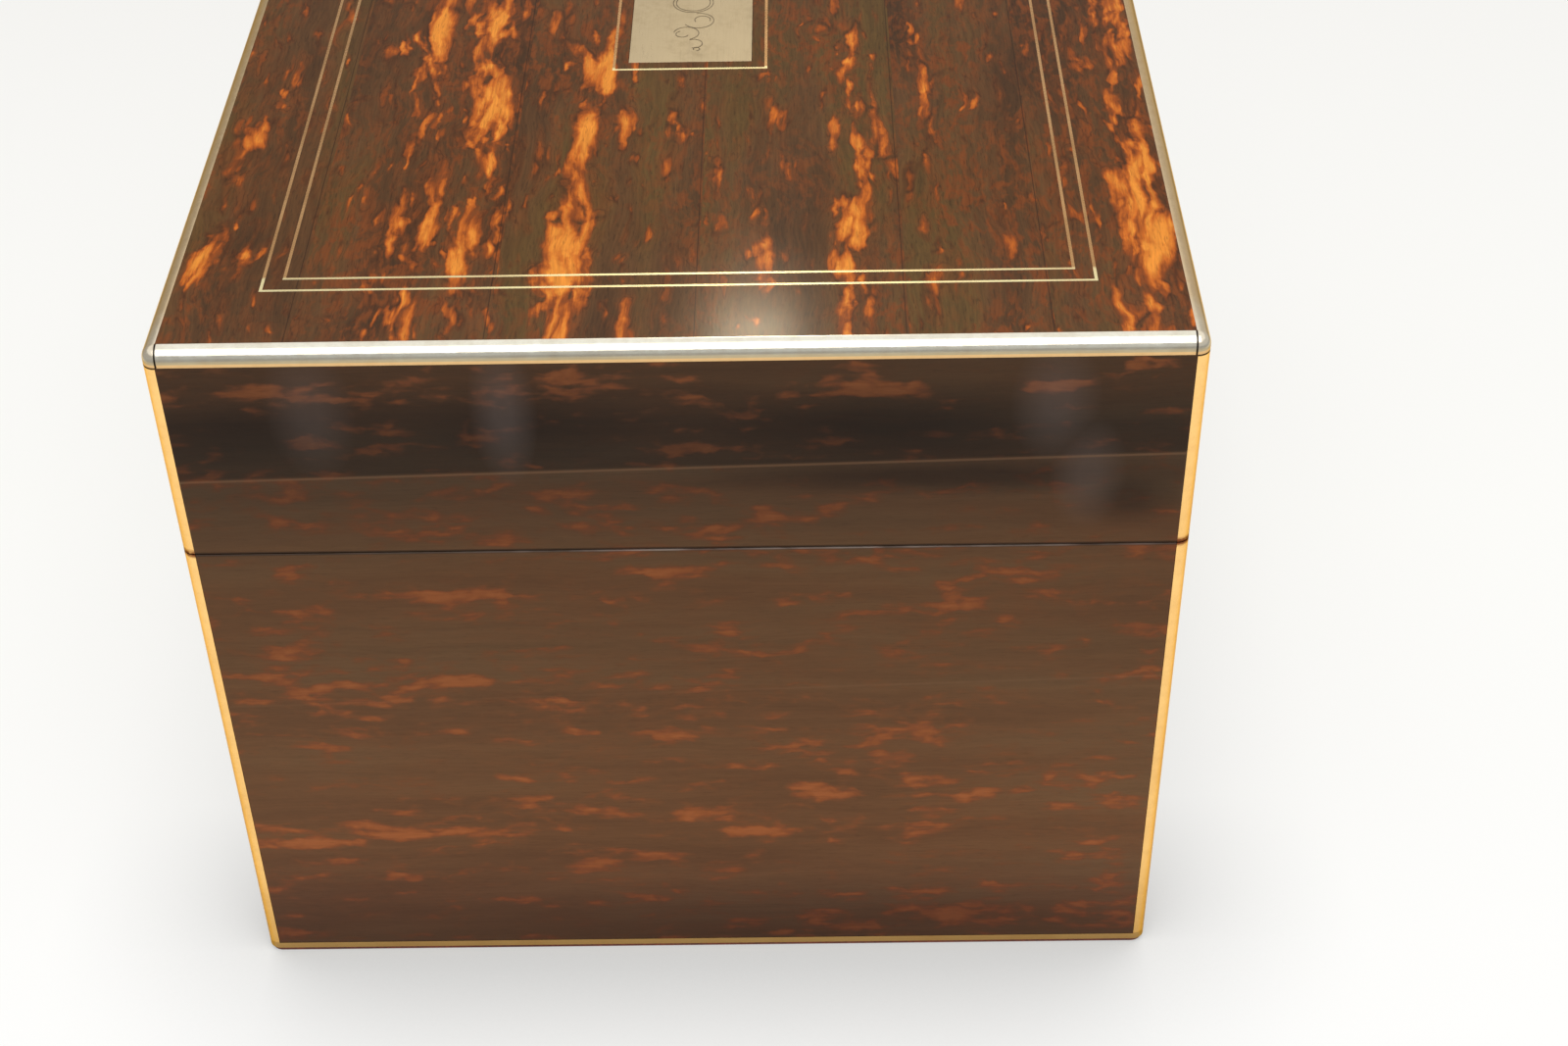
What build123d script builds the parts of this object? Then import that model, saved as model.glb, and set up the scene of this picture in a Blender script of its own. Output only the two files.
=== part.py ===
from build123d import *
import math
import os

os.makedirs("parts", exist_ok=True)

# A dressing box with a hinged lid, a lock, a mirror in the lid, a lift-out tray and a jewel
# drawer. X runs along its length, the front with the lock and the drawer faces -Y, the hinges
# are on the +Y side, and Z is up. The origin is the middle of the underside. Sizes in mm.

# Overall size
box_length = 305.0
box_depth = 229.0
box_height = 193.0
parting_height = 136.5

# Boards, veneer and rim
board = 8.0
top_board = 8.0
veneer = 1.0
rim_lipping = 1.0
parting_groove = 0.2        # each outer skin stops this far short of the parting plane
liner = 4.0
front_liner = 8.0
liner_lip = 4.0             # height of the liner above the rim
lip_clearance = 0.4
lip_round = 1.0
dust_board = 4.0
dado_depth = 3.0
underside_leather = 1.2
leather_inset = 0.4

# Brass edging
edge_round = 3.0
top_edging_width = 3.2
top_edging_height = 4.3
corner_edging = 3.0
bottom_edging_width = 3.0
bottom_edging_height = 1.9

# Inlay in the lid's top
inlay_depth = 0.7
string_width = 0.7
outer_string_inset = 22.7   # box edge to the middle of the line
inner_string_inset = 27.3
plate_length = 62.0
plate_width = 31.0
plate_string_gap = 3.45     # plate edge to the middle of the line round it

# Hinges
hinge_length = 38.0
hinge_end_distance = 14.0
knuckle_radius = 2.2
knuckle_gap = 0.25
knuckle_clearance = 0.3
leaf_thickness = 1.2
leaf_width = 8.0
leaf_setback = 0.1
pin_radius = 1.1
running_clearance = 0.05
hinge_screw_spacing = 13.0
hinge_screw_inset = 5.0     # from the pin's axis

# Screws
screw_radius = 0.9
screw_head_radius = 1.7
screw_head_depth = 0.9
screw_length = 7.0
screw_clearance = 0.05
screw_slot_width = 0.45
screw_slot_depth = 0.5

# Lock
lock_half_length = 26.0
lock_depth = 31.0           # selvedge underside to the foot of the case
lock_wall = 1.0
lock_cavity = 4.0
lock_front = 3.0            # outer face of the box to the front of the lock case
selvedge_half_length = 33.0
selvedge_front = 2.0
selvedge_thickness = 1.4
selvedge_screw = 29.5
barrel_drop = 17.5          # parting plane to the barrel's axis
barrel_radius = 4.0
barrel_recess = 0.6         # barrel's face behind the nozzle's face
barrel_collar_radius = 4.8
stud_radius = 0.9
stud_throw = 3.0
stud_play = 0.3
barrel_turn = 90.0
key_hole_radius = 2.4
key_post_radius = 0.9
key_hole_depth = 4.0
key_notch = 0.9
nozzle_flange_radius = 7.5
nozzle_flange = 1.5
nozzle_sleeve_radius = 5.4
nozzle_round = 0.7
bolt_thickness = 2.2
bolt_gap = 0.3
bolt_plate_top = 9.5        # below the parting plane
bolt_plate_bottom = 23.0
post_width = 3.5
finger_length = 3.0
finger_thickness = 2.4
link_positions = (-8.5, 18.5)   # outer side of each link's stem
link_stem = 2.5
link_toe = 3.0
link_toe_height = 2.4
link_depth = 7.0
link_gap = 0.25
link_slot_clearance = 0.4

# Mirror in the lid
mirror_rail_width = 10.0
mirror_rail_height = 20.0
mirror_rail_lip = 4.0
mirror_ledge_width = 6.0
mirror_ledge_foot = 4.0
mirror_groove_depth = 3.5
mirror_board = 6.0
mirror_side_gap = 1.0
mirror_gap = 0.3
mirror_margin = 18.0
mirror_glass = 2.8
mirror_glass_setback = 0.2
mirror_bevel_width = 6.0
mirror_bevel_depth = 0.9
button_length = 13.0
button_width = 8.0
button_thickness = 1.6
button_gap = 0.1
pivot_radius = 1.2
pivot_head_radius = 2.6
pivot_head = 1.3
pivot_length = 10.0

# Tray
tray_height = 82.0
tray_gap = 0.5
tray_wall = 4.0
tray_bottom = 3.0
tray_divider = 3.0
tray_divider_drop = 2.0
tray_row_depth = 58.0       # the front and the back row
tray_row_cells = 5
tray_middle_cells = 3

# Drawer
drawer_bay_height = 34.0
drawer_gap = 0.3
drawer_wall = 5.0
drawer_wall_drop = 5.0      # front's top edge to the top of the walls
drawer_bottom = 3.0
push_spring_room = 17.5     # behind the closed drawer
drawer_pad = 2.5
drawer_pad_gap = 0.3
push_spring_half_length = 40.0
push_spring_height = 10.0
push_spring_thickness = 0.8
push_spring_gap = 0.3

# Drawer catch
catch_button_x = -110.0
catch_button_radius = 1.9
catch_button_rise = 3.4
catch_rod_radius = 1.2
catch_bush_radius = 2.8
catch_bush_depth = 5.0
catch_spring_thickness = 0.8
catch_spring_fixed_at = 46.0    # behind the drawer front's inner face
catch_spring_foot = 12.0
catch_spring_half_width = 5.0
catch_spring_reach = 1.0        # leaf's tip to the drawer front's inner face
catch_nose_width = 4.0
catch_nose_depth = 2.5
strike_thickness = 1.0
strike_width = 8.0
strike_reach = 7.0
strike_flange = 10.0
strike_drop = 2.4               # drawer front's top edge to the strike's top face
strike_play = 0.5

half_length = box_length / 2
half_depth = box_depth / 2
inside_x = half_length - veneer - board
inside_y = half_depth - veneer - board
lid_ceiling = box_height - veneer - top_board
lid_skin_bottom = parting_height + parting_groove
lid_skin_top = box_height - top_edging_height
case_skin_top = parting_height - parting_groove
case_skin_bottom = underside_leather + bottom_edging_height
case_rim = parting_height - rim_lipping
case_floor = underside_leather + board
bay_top = case_floor + drawer_bay_height
well_floor = bay_top + dust_board


def outward(side, near, far):
    return (near, far) if side > 0 else (-far, -near)


def across(half):
    return (-half, half)


def block(x, y, z):
    middle = Pos((x[0] + x[1]) / 2, (y[0] + y[1]) / 2, (z[0] + z[1]) / 2)
    return middle * Box(x[1] - x[0], y[1] - y[0], z[1] - z[0])


def upright(x, y, z, radius):
    return Pos(x, y, (z[0] + z[1]) / 2) * Cylinder(radius, z[1] - z[0])


def along_x(x, y, z, radius):
    return Pos((x[0] + x[1]) / 2, y, z) * Rot(0, 90, 0) * Cylinder(radius, x[1] - x[0])


def along_y(x, y, z, radius):
    return Pos(x, (y[0] + y[1]) / 2, z) * Rot(90, 0, 0) * Cylinder(radius, y[1] - y[0])


def save(node, *shapes):
    solids = [solid for shape in shapes for solid in shape.solids()]
    export_step(Compound(solids) if len(solids) > 1 else solids[0], f"parts/{node}.step")


# The box's outer shape: its upright arrises and the lid's top arris are all rounded alike,
# so that the top corners are balls. Edging is cut from it.
def outer_shape():
    body = block(across(half_length), across(half_depth), (underside_leather, box_height))
    rounded = body.edges().filter_by(Axis.Z) + body.faces().sort_by(Axis.Z)[-1].edges()
    return fillet(rounded, edge_round)


outer = outer_shape()


# The square upright rebates at the corners that hold the corner edging.
def corner_rebates(z):
    size = corner_edging + edge_round
    x = half_length - corner_edging
    y = half_depth - corner_edging
    return [
        block(outward(sx, x, x + size), outward(sy, y, y + size), z)
        for sx in (-1, 1)
        for sy in (-1, 1)
    ]


all_corners = corner_rebates((0, box_height))


def mitred_frame(half_x, half_y, width, z):
    inner_x = half_x - width
    inner_y = half_y - width
    strips = []
    for side in (-1, 1):
        long_face = Polygon(
            (-half_x, side * half_y), (half_x, side * half_y),
            (inner_x, side * inner_y), (-inner_x, side * inner_y), align=None,
        )
        short_face = Polygon(
            (side * half_x, -half_y), (side * half_x, half_y),
            (side * inner_x, inner_y), (side * inner_x, -inner_y), align=None,
        )
        for face in (long_face, short_face):
            strips.append(extrude(Pos(0, 0, z[0]) * face, z[1] - z[0], dir=(0, 0, 1)))
    return strips


# Countersunk screw with its head's face at the origin and its point down.
def screw_shape(extra):
    head = Pos(0, 0, -screw_head_depth / 2) * Cone(
        screw_radius + extra, screw_head_radius + extra, screw_head_depth
    )
    shank = upright(0, 0, (-screw_length - extra, 0), screw_radius + extra)
    return head + shank


def screw():
    slot = block(
        across(screw_head_radius), across(screw_slot_width / 2), (-screw_slot_depth, 0)
    )
    return screw_shape(0) - slot


def placed(shape, x, y, z, upward):
    return Pos(x, y, z) * (Rot(180, 0, 0) * shape if upward else shape)


# Hinges. The pin's axis lies on the back face of the box, in the parting plane.
hinge_centres = [
    side * (half_length - hinge_end_distance - hinge_length / 2) for side in (-1, 1)
]
knuckle_length = (hinge_length - 2 * knuckle_gap) / 3
case_leaf_top = parting_height - leaf_setback
lid_leaf_bottom = parting_height + leaf_setback
hinge_screw_y = half_depth - hinge_screw_inset
hinge_screws = [
    centre + step * hinge_screw_spacing for centre in hinge_centres for step in (-1, 0, 1)
]


def knuckle(x, radius=knuckle_radius):
    return along_x(x, half_depth, parting_height, radius)


def hinge_leaf(centre, in_lid):
    start = centre - hinge_length / 2
    step = knuckle_length + knuckle_gap
    spans = [(start + i * step, start + i * step + knuckle_length) for i in range(3)]
    own = [spans[1]] if in_lid else [spans[0], spans[2]]
    other = [spans[0], spans[2]] if in_lid else [spans[1]]
    z = (
        (lid_leaf_bottom, lid_leaf_bottom + leaf_thickness)
        if in_lid
        else (case_leaf_top - leaf_thickness, case_leaf_top)
    )
    plate = block(
        (start, start + hinge_length), (half_depth - leaf_width, half_depth), z
    )
    relief = knuckle_radius + knuckle_clearance
    leaf = plate - [knuckle((s[0] - knuckle_gap, s[1] + knuckle_gap), relief) for s in other]
    for s in own:
        leaf = leaf + knuckle(s)
    leaf = leaf - knuckle(
        (start, start + hinge_length), pin_radius + running_clearance
    )
    face = lid_leaf_bottom if in_lid else case_leaf_top
    for step_x in (-1, 0, 1):
        hole = screw_shape(screw_clearance)
        x = centre + step_x * hinge_screw_spacing
        leaf = leaf - placed(hole, x, hinge_screw_y, face, in_lid)
    return leaf


# What the wood loses to the hinges: the leaves' seats, the knuckles' room, the screw holes.
def hinge_cuts(in_lid):
    cuts = []
    for centre in hinge_centres:
        x = (centre - hinge_length / 2, centre + hinge_length / 2)
        if in_lid:
            z = (parting_height, lid_leaf_bottom + leaf_thickness)
        else:
            z = (case_leaf_top - leaf_thickness, parting_height)
        cuts.append(block(x, (half_depth - leaf_width, half_depth), z))
        room = (x[0] - knuckle_gap, x[1] + knuckle_gap)
        cuts.append(knuckle(room, knuckle_radius + knuckle_clearance))
    face = lid_leaf_bottom if in_lid else case_leaf_top
    for x in hinge_screws:
        cuts.append(placed(screw_shape(screw_clearance), x, hinge_screw_y, face, in_lid))
    return cuts


lid_hinge_cuts = hinge_cuts(True)
case_hinge_cuts = hinge_cuts(False)
save("lid_hinge_leaves", *[hinge_leaf(centre, True) for centre in hinge_centres])
save("case_hinge_leaves", *[hinge_leaf(centre, False) for centre in hinge_centres])
save("hinge_pins", *[
    knuckle((centre - hinge_length / 2, centre + hinge_length / 2), pin_radius)
    for centre in hinge_centres
])

# Lock. The barrel turns in the nozzle and its stud slides the bolt, whose two fingers then
# lie over the toes of the lid's links.
front_face = -half_depth
lock_y = (front_face + lock_front, -inside_y)
cavity_y = (lock_y[0] + lock_wall, lock_y[0] + lock_wall + lock_cavity)
selvedge_y = (front_face + selvedge_front, -inside_y)
selvedge_z = (case_leaf_top - selvedge_thickness, case_leaf_top)
lock_z = (selvedge_z[0] - lock_depth, selvedge_z[0])
barrel_z = parting_height - barrel_drop
bolt_y = (cavity_y[1] - bolt_gap - bolt_thickness, cavity_y[1] - bolt_gap)
stud_x = -stud_throw * math.sin(math.radians(barrel_turn / 2))
stud_z = barrel_z - stud_throw * math.cos(math.radians(barrel_turn / 2))
bolt_travel = 2 * abs(stud_x)
toe_top = parting_height - link_depth + link_toe_height
lid_link_plate = (lid_leaf_bottom, lid_leaf_bottom + selvedge_thickness)
lock_screw_y = (selvedge_y[0] + selvedge_y[1]) / 2


def link(edge):
    foot = parting_height - link_depth
    stem = block((edge - link_stem, edge), bolt_y, (foot, lid_link_plate[0]))
    toe = block((edge - link_stem - link_toe, edge - link_stem), bolt_y, (foot, toe_top))
    return stem + toe


def link_slot(edge):
    return block(
        (edge - link_stem - link_toe - link_slot_clearance, edge + link_slot_clearance),
        (bolt_y[0] - link_slot_clearance, bolt_y[1] + link_slot_clearance),
        (selvedge_z[0] - lock_wall, parting_height),
    )


def lock_case():
    shell = block(across(lock_half_length), lock_y, lock_z)
    hollow = block(
        across(lock_half_length - lock_wall), cavity_y, (lock_z[0] + lock_wall, lock_z[1])
    )
    selvedge = block(across(selvedge_half_length), selvedge_y, selvedge_z)
    case = shell - hollow + selvedge
    case = case - [link_slot(edge) for edge in link_positions]
    case = case - along_y(0, (lock_y[0], cavity_y[0]), barrel_z, barrel_radius + running_clearance)
    for side in (-1, 1):
        hole = screw_shape(screw_clearance)
        case = case - placed(hole, side * selvedge_screw, lock_screw_y, case_leaf_top, False)
    return case


def lock_barrel():
    face = front_face - nozzle_flange + barrel_recess
    tip = bolt_y[0] - bolt_gap
    barrel = along_y(0, (face, tip), barrel_z, barrel_radius)
    collar_start = cavity_y[0] + running_clearance
    barrel = barrel + along_y(0, (collar_start, tip), barrel_z, barrel_collar_radius)
    hole = along_y(0, (face, face + key_hole_depth), barrel_z, key_hole_radius)
    post = along_y(0, (face, face + key_hole_depth), barrel_z, key_post_radius)
    notch = block(
        across(key_notch / 2),
        (face, face + key_hole_depth),
        (barrel_z, barrel_z + key_hole_radius + key_notch),
    )
    barrel = barrel - (hole + notch - post)
    return barrel + along_y(stud_x, (tip, bolt_y[1]), stud_z, stud_radius)


def lock_bolt():
    tips = [edge - link_stem - bolt_travel - link_gap for edge in link_positions]
    posts = [tip - finger_length for tip in tips]
    plate_x = (posts[0] - post_width, posts[1] + finger_length)
    plate_z = (parting_height - bolt_plate_bottom, parting_height - bolt_plate_top)
    bolt = block(plate_x, bolt_y, plate_z)
    finger_z = (toe_top + link_gap, toe_top + link_gap + finger_thickness)
    for tip, post in zip(tips, posts):
        bolt = bolt + block((post - post_width, post), bolt_y, (plate_z[1], finger_z[1]))
        bolt = bolt + block((post - post_width, tip), bolt_y, finger_z)
    low = barrel_z - stud_throw - stud_radius - stud_play
    high = stud_z + stud_radius + stud_play
    half_slot = stud_radius + stud_play
    return bolt - block((stud_x - half_slot, stud_x + half_slot), bolt_y, (low, high))


def lock_nozzle():
    flange = along_y(0, (front_face - nozzle_flange, front_face), barrel_z, nozzle_flange_radius)
    rim = flange.faces().sort_by(Axis.Y)[0].edges()
    flange = fillet(rim, nozzle_round)
    sleeve = along_y(0, (front_face, lock_y[0]), barrel_z, nozzle_sleeve_radius)
    bore = along_y(
        0, (front_face - nozzle_flange, lock_y[0]), barrel_z, barrel_radius + running_clearance
    )
    return flange + sleeve - bore


nozzle_hole = along_y(
    0, (front_face, lock_y[0]), barrel_z, nozzle_sleeve_radius + running_clearance
)
save("lock_case", lock_case())
save("lock_nozzle", lock_nozzle())
save("lock_barrel", lock_barrel())
save("lock_bolt", lock_bolt())

# What the case's wood loses to the lock, and the lid's to the plate that carries the links.
lock_cuts = [
    block(across(lock_half_length), lock_y, lock_z),
    block(across(selvedge_half_length), selvedge_y, (selvedge_z[0], parting_height)),
    nozzle_hole,
]
link_plate_cuts = [
    block(across(selvedge_half_length), selvedge_y, (parting_height, lid_link_plate[1]))
]
for side in (-1, 1):
    screw_x = side * selvedge_screw
    hole = screw_shape(screw_clearance)
    lock_cuts.append(placed(hole, screw_x, lock_screw_y, case_leaf_top, False))
    link_plate_cuts.append(placed(hole, screw_x, lock_screw_y, lid_leaf_bottom, True))


def lock_links():
    plate = block(across(selvedge_half_length), selvedge_y, lid_link_plate)
    for edge in link_positions:
        plate = plate + link(edge)
    for side in (-1, 1):
        hole = screw_shape(screw_clearance)
        plate = plate - placed(hole, side * selvedge_screw, lock_screw_y, lid_leaf_bottom, True)
    return plate


save("lock_links", lock_links())

# Mirror rails, at the front and the back of the lid, hold the mirror board by its edges.
rail_bottom = lid_ceiling - mirror_rail_height
mirror_z = (rail_bottom + mirror_gap, rail_bottom + mirror_gap + mirror_board)
rail_y = (-inside_y, -inside_y + mirror_rail_width)
pivot_y = (rail_y[0] + rail_y[1]) / 2
pivot_hole = upright(0, pivot_y, (rail_bottom, rail_bottom + pivot_length), pivot_radius)


def mirror_rails():
    front = block(across(inside_x), rail_y, (rail_bottom, lid_ceiling)) + block(
        across(inside_x), (rail_y[1], rail_y[1] + mirror_rail_lip),
        (mirror_z[1] + mirror_gap, lid_ceiling),
    )
    ledge_y = inside_y - mirror_ledge_width
    ledge = block(
        across(inside_x), (ledge_y, inside_y), (rail_bottom - mirror_ledge_foot, lid_ceiling)
    )
    groove = block(
        across(inside_x), (ledge_y, ledge_y + mirror_groove_depth),
        (mirror_z[0] - mirror_gap, mirror_z[1] + mirror_gap),
    )
    return front - pivot_hole, ledge - groove


glass_x = inside_x - mirror_side_gap - mirror_margin
board_y = (
    rail_y[1] + mirror_gap,
    inside_y - mirror_ledge_width + mirror_groove_depth - mirror_gap,
)
glass_y = (board_y[0] + mirror_margin, inside_y - mirror_ledge_width - mirror_margin)
glass_z = (mirror_z[0] + mirror_glass_setback, mirror_z[0] + mirror_glass_setback + mirror_glass)


def mirror_board_shape():
    panel = block(across(inside_x - mirror_side_gap), board_y, mirror_z)
    return panel - block(across(glass_x), glass_y, (mirror_z[0], glass_z[1]))


def mirror_glass_shape():
    glass = block(across(glass_x), glass_y, glass_z)
    bevelled = glass.faces().sort_by(Axis.Z)[0]
    return chamfer(bevelled.edges(), mirror_bevel_width, mirror_bevel_depth, reference=bevelled)


# The turn button swings in its own plane, under the rail and the mirror's edge.
button_z = (rail_bottom - button_gap - button_thickness, rail_bottom - button_gap)


def mirror_button():
    tail = upright(0, pivot_y, button_z, button_width / 2)
    tip = upright(0, pivot_y + button_length, button_z, button_width / 4)
    bar = block(across(button_width / 4), (pivot_y, pivot_y + button_length), button_z)
    return tail + bar + tip - upright(0, pivot_y, button_z, pivot_radius + running_clearance)


def pivot_screw():
    head_z = (button_z[0] - button_gap - pivot_head, button_z[0] - button_gap)
    head = upright(0, pivot_y, head_z, pivot_head_radius)
    shank = upright(0, pivot_y, (head_z[1], rail_bottom + pivot_length), pivot_radius)
    slot = block(
        across(pivot_head_radius), (pivot_y - screw_slot_width / 2, pivot_y + screw_slot_width / 2),
        (head_z[0], head_z[0] + screw_slot_depth),
    )
    return head + shank - slot


save("mirror_rails", *mirror_rails())
save("mirror_board", mirror_board_shape())
save("mirror_glass", mirror_glass_shape())
save("mirror_button", mirror_button())
save(
    "lid_screws",
    pivot_screw(),
    *[placed(screw(), x, hinge_screw_y, lid_leaf_bottom, True) for x in hinge_screws],
    *[placed(screw(), s * selvedge_screw, lock_screw_y, lid_leaf_bottom, True) for s in (-1, 1)],
)
save(
    "case_screws",
    *[placed(screw(), x, hinge_screw_y, case_leaf_top, False) for x in hinge_screws],
    *[placed(screw(), s * selvedge_screw, lock_screw_y, case_leaf_top, False) for s in (-1, 1)],
)


# Lid boards: the front and the back run the full length, the ends stand between them, and
# the top lies over all four.
def lid_top_board():
    x = half_length - veneer
    y = half_depth - veneer
    lower = block(across(x), across(y), (lid_ceiling, lid_skin_top)) - all_corners
    upper_z = (lid_skin_top, box_height - veneer)
    inner_x = half_length - top_edging_width
    inner_y = half_depth - top_edging_width
    return lower + block(across(inner_x), across(inner_y), upper_z)


def lid_wall(side):
    y = outward(side, inside_y, half_depth - veneer)
    z = (parting_height + rim_lipping, lid_ceiling)
    return block(across(half_length - veneer), y, z) - all_corners


def end_wall(side, y, z):
    return block(outward(side, inside_x, half_length - veneer), y, z)


save("lid_top_board", lid_top_board())
save("lid_front_board", lid_wall(-1) - link_plate_cuts)
save("lid_back_board", lid_wall(1) - lid_hinge_cuts)
save("lid_end_boards", *[
    end_wall(side, across(inside_y), (parting_height + rim_lipping, lid_ceiling))
    for side in (-1, 1)
])


def side_veneer(side, z):
    x = across(half_length - corner_edging)
    return block(x, outward(side, half_depth - veneer, half_depth), z)


def end_veneer(side, z):
    y = across(half_depth - corner_edging)
    return block(outward(side, half_length - veneer, half_length), y, z)


lid_skin = (lid_skin_bottom, lid_skin_top)
save("lid_front_veneer", side_veneer(-1, lid_skin))
save("lid_back_veneer", side_veneer(1, lid_skin) - lid_hinge_cuts)
save("lid_left_veneer", end_veneer(-1, lid_skin))
save("lid_right_veneer", end_veneer(1, lid_skin))

# The lid's top: two lines of stringing run round it, and one runs round the plate.
inlay_z = (box_height - inlay_depth, box_height)


def string_frame(inset):
    outer_edge = inset - string_width / 2
    return mitred_frame(
        half_length - outer_edge, half_depth - outer_edge, string_width, inlay_z
    )


outer_string = string_frame(outer_string_inset)
inner_string = string_frame(inner_string_inset)
plate_string_reach = plate_string_gap + string_width / 2
plate_string = mitred_frame(
    plate_length / 2 + plate_string_reach,
    plate_width / 2 + plate_string_reach,
    string_width,
    inlay_z,
)
plate = block(across(plate_length / 2), across(plate_width / 2), inlay_z)
top_veneer = block(
    across(half_length - top_edging_width),
    across(half_depth - top_edging_width),
    (box_height - veneer, box_height),
)
save("lid_top_veneer", top_veneer - outer_string - inner_string - plate_string - plate)
save("outer_stringing", *outer_string)
save("inner_stringing", *inner_string)
save("plate_stringing", *plate_string)
save("initial_plate", plate)

# Brass edging, each strip the part of the outer shape that fills its rebate.
top_edging_z = (lid_skin_top, box_height)


def long_edging(side, width, z):
    y = outward(side, half_depth - width, half_depth)
    return block(across(half_length), y, z) & outer


def short_edging(side, width, z):
    x = outward(side, half_length - width, half_length)
    return block(x, across(half_depth - width), z) & outer


save("lid_front_edging", long_edging(-1, top_edging_width, top_edging_z))
save("lid_back_edging", long_edging(1, top_edging_width, top_edging_z))
save("lid_left_edging", short_edging(-1, top_edging_width, top_edging_z))
save("lid_right_edging", short_edging(1, top_edging_width, top_edging_z))
save("lid_corner_edgings", *[post & outer for post in corner_rebates(lid_skin)])

case_skin = (case_skin_bottom, case_skin_top)
bottom_z = (underside_leather, case_skin_bottom)
save("corner_edgings", *[post & outer for post in corner_rebates(case_skin)])
save(
    "bottom_edgings",
    *[long_edging(side, bottom_edging_width, bottom_z) for side in (-1, 1)],
    *[short_edging(side, bottom_edging_width, bottom_z) for side in (-1, 1)],
)


# Facing on the rims, in four mitred strips.
def rim_frame(z, cuts):
    strips = mitred_frame(half_length - veneer, half_depth - veneer, board, z)
    return [strip - all_corners - cuts for strip in strips]


save(
    "lid_rim_lipping",
    *rim_frame((parting_height, parting_height + rim_lipping), lid_hinge_cuts + link_plate_cuts),
)
save("rim_lipping", *rim_frame((case_rim, parting_height), case_hinge_cuts + lock_cuts))


# Case boards. The end boards run through to the front beside the drawer.
def bottom_board():
    x = half_length - veneer
    y = half_depth - veneer
    upper = block(across(x), across(y), (case_skin_bottom, case_floor)) - all_corners
    lower = block(
        across(half_length - bottom_edging_width), across(half_depth - bottom_edging_width), bottom_z
    )
    return upper + lower


dado = block(across(inside_x + dado_depth), across(inside_y), (bay_top, well_floor))
case_walls = (case_floor, case_rim)
back_board = block(
    across(half_length - veneer), (inside_y, half_depth - veneer), case_walls
)
front_board = block(
    across(inside_x), (-half_depth + veneer, -inside_y), (bay_top, case_rim)
)
end_y = (-half_depth + veneer, inside_y)
save("bottom_board", bottom_board())
save("back_board", back_board - all_corners - case_hinge_cuts)
save("front_board", front_board - lock_cuts)
save("end_boards", *[end_wall(side, end_y, case_walls) - all_corners - dado for side in (-1, 1)])

drawer_window = block(
    across(inside_x), (-half_depth, -half_depth + veneer), (case_floor, bay_top)
)
save("front_veneer", side_veneer(-1, case_skin) - drawer_window - nozzle_hole)
save("back_veneer", side_veneer(1, case_skin) - case_hinge_cuts)
save("left_veneer", end_veneer(-1, case_skin))
save("right_veneer", end_veneer(1, case_skin))


def underside():
    pad = block(
        across(half_length - leather_inset), across(half_depth - leather_inset), (0, underside_leather)
    )
    return fillet(pad.edges().filter_by(Axis.Z), edge_round)


save("underside_leather", underside())

# Catch button for the drawer: a rod through the front liner and the dust board.
catch_y = -inside_y + (front_liner + lip_clearance) / 2
liner_top = parting_height + liner_lip
leaf_y = (-inside_y + catch_spring_reach, -inside_y + catch_spring_fixed_at)
strike_top = bay_top - drawer_gap - strike_drop
leaf_top = strike_top - strike_thickness - strike_play
rod_bottom = leaf_top + drawer_gap


def catch_hole(z):
    return upright(catch_button_x, catch_y, z, catch_rod_radius + running_clearance)


def catch_button():
    knob = upright(
        catch_button_x, catch_y, (liner_top, liner_top + catch_button_rise), catch_button_radius
    )
    knob = fillet(knob.faces().sort_by(Axis.Z)[-1].edges(), catch_button_radius / 2)
    return knob + upright(catch_button_x, catch_y, (rod_bottom, liner_top), catch_rod_radius)


def button_bush():
    z = (liner_top - catch_bush_depth, liner_top)
    bush = upright(catch_button_x, catch_y, z, catch_bush_radius)
    well = upright(
        catch_button_x, catch_y, (liner_top - catch_button_rise, liner_top),
        catch_button_radius + running_clearance,
    )
    return bush - well - catch_hole(z)


bush_seat = upright(
    catch_button_x, catch_y, (liner_top - catch_bush_depth, liner_top), catch_bush_radius
)
save("release_button", catch_button())
save("button_bush", button_bush())


# Liner boards stand on the dust board and rise above the rim to guide the lid.
def liner_board(x, y, free_x, free_y):
    low = block(x, y, (well_floor, parting_height))
    lip = block(free_x, free_y, (parting_height, liner_top))
    lip = fillet(lip.faces().sort_by(Axis.Z)[-1].edges(), lip_round)
    return low + lip


liner_x = inside_x - liner
free_x = inside_x - lip_clearance
free_y = inside_y - lip_clearance
liner_front_y = -inside_y + front_liner
liner_back_y = inside_y - liner
liner_front = liner_board(
    across(inside_x), (-inside_y, liner_front_y), across(free_x), (-free_y, liner_front_y)
)
liner_back = liner_board(
    across(inside_x), (liner_back_y, inside_y), across(free_x), (liner_back_y, free_y)
)
liner_ends = [
    liner_board(
        outward(side, liner_x, inside_x), (liner_front_y, liner_back_y),
        outward(side, liner_x, free_x), (liner_front_y, liner_back_y),
    )
    for side in (-1, 1)
]
button_cut = catch_hole((bay_top, liner_top))
save("liner_boards", liner_front - bush_seat - button_cut, liner_back, *liner_ends)
save("dust_board", dado - button_cut)

# Tray, with a row of cells along the front, one along the back and one between them.
tray_x = liner_x - tray_gap
tray_y = (liner_front_y + tray_gap, liner_back_y - tray_gap)
tray_floor = well_floor + tray_bottom
tray_top = well_floor + tray_height
cell_x = tray_x - tray_wall
cell_y = (tray_y[0] + tray_wall, tray_y[1] - tray_wall)
divider_z = (tray_floor, tray_top - tray_divider_drop)
row_edges = (cell_y[0] + tray_row_depth, cell_y[1] - tray_row_depth)


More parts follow.
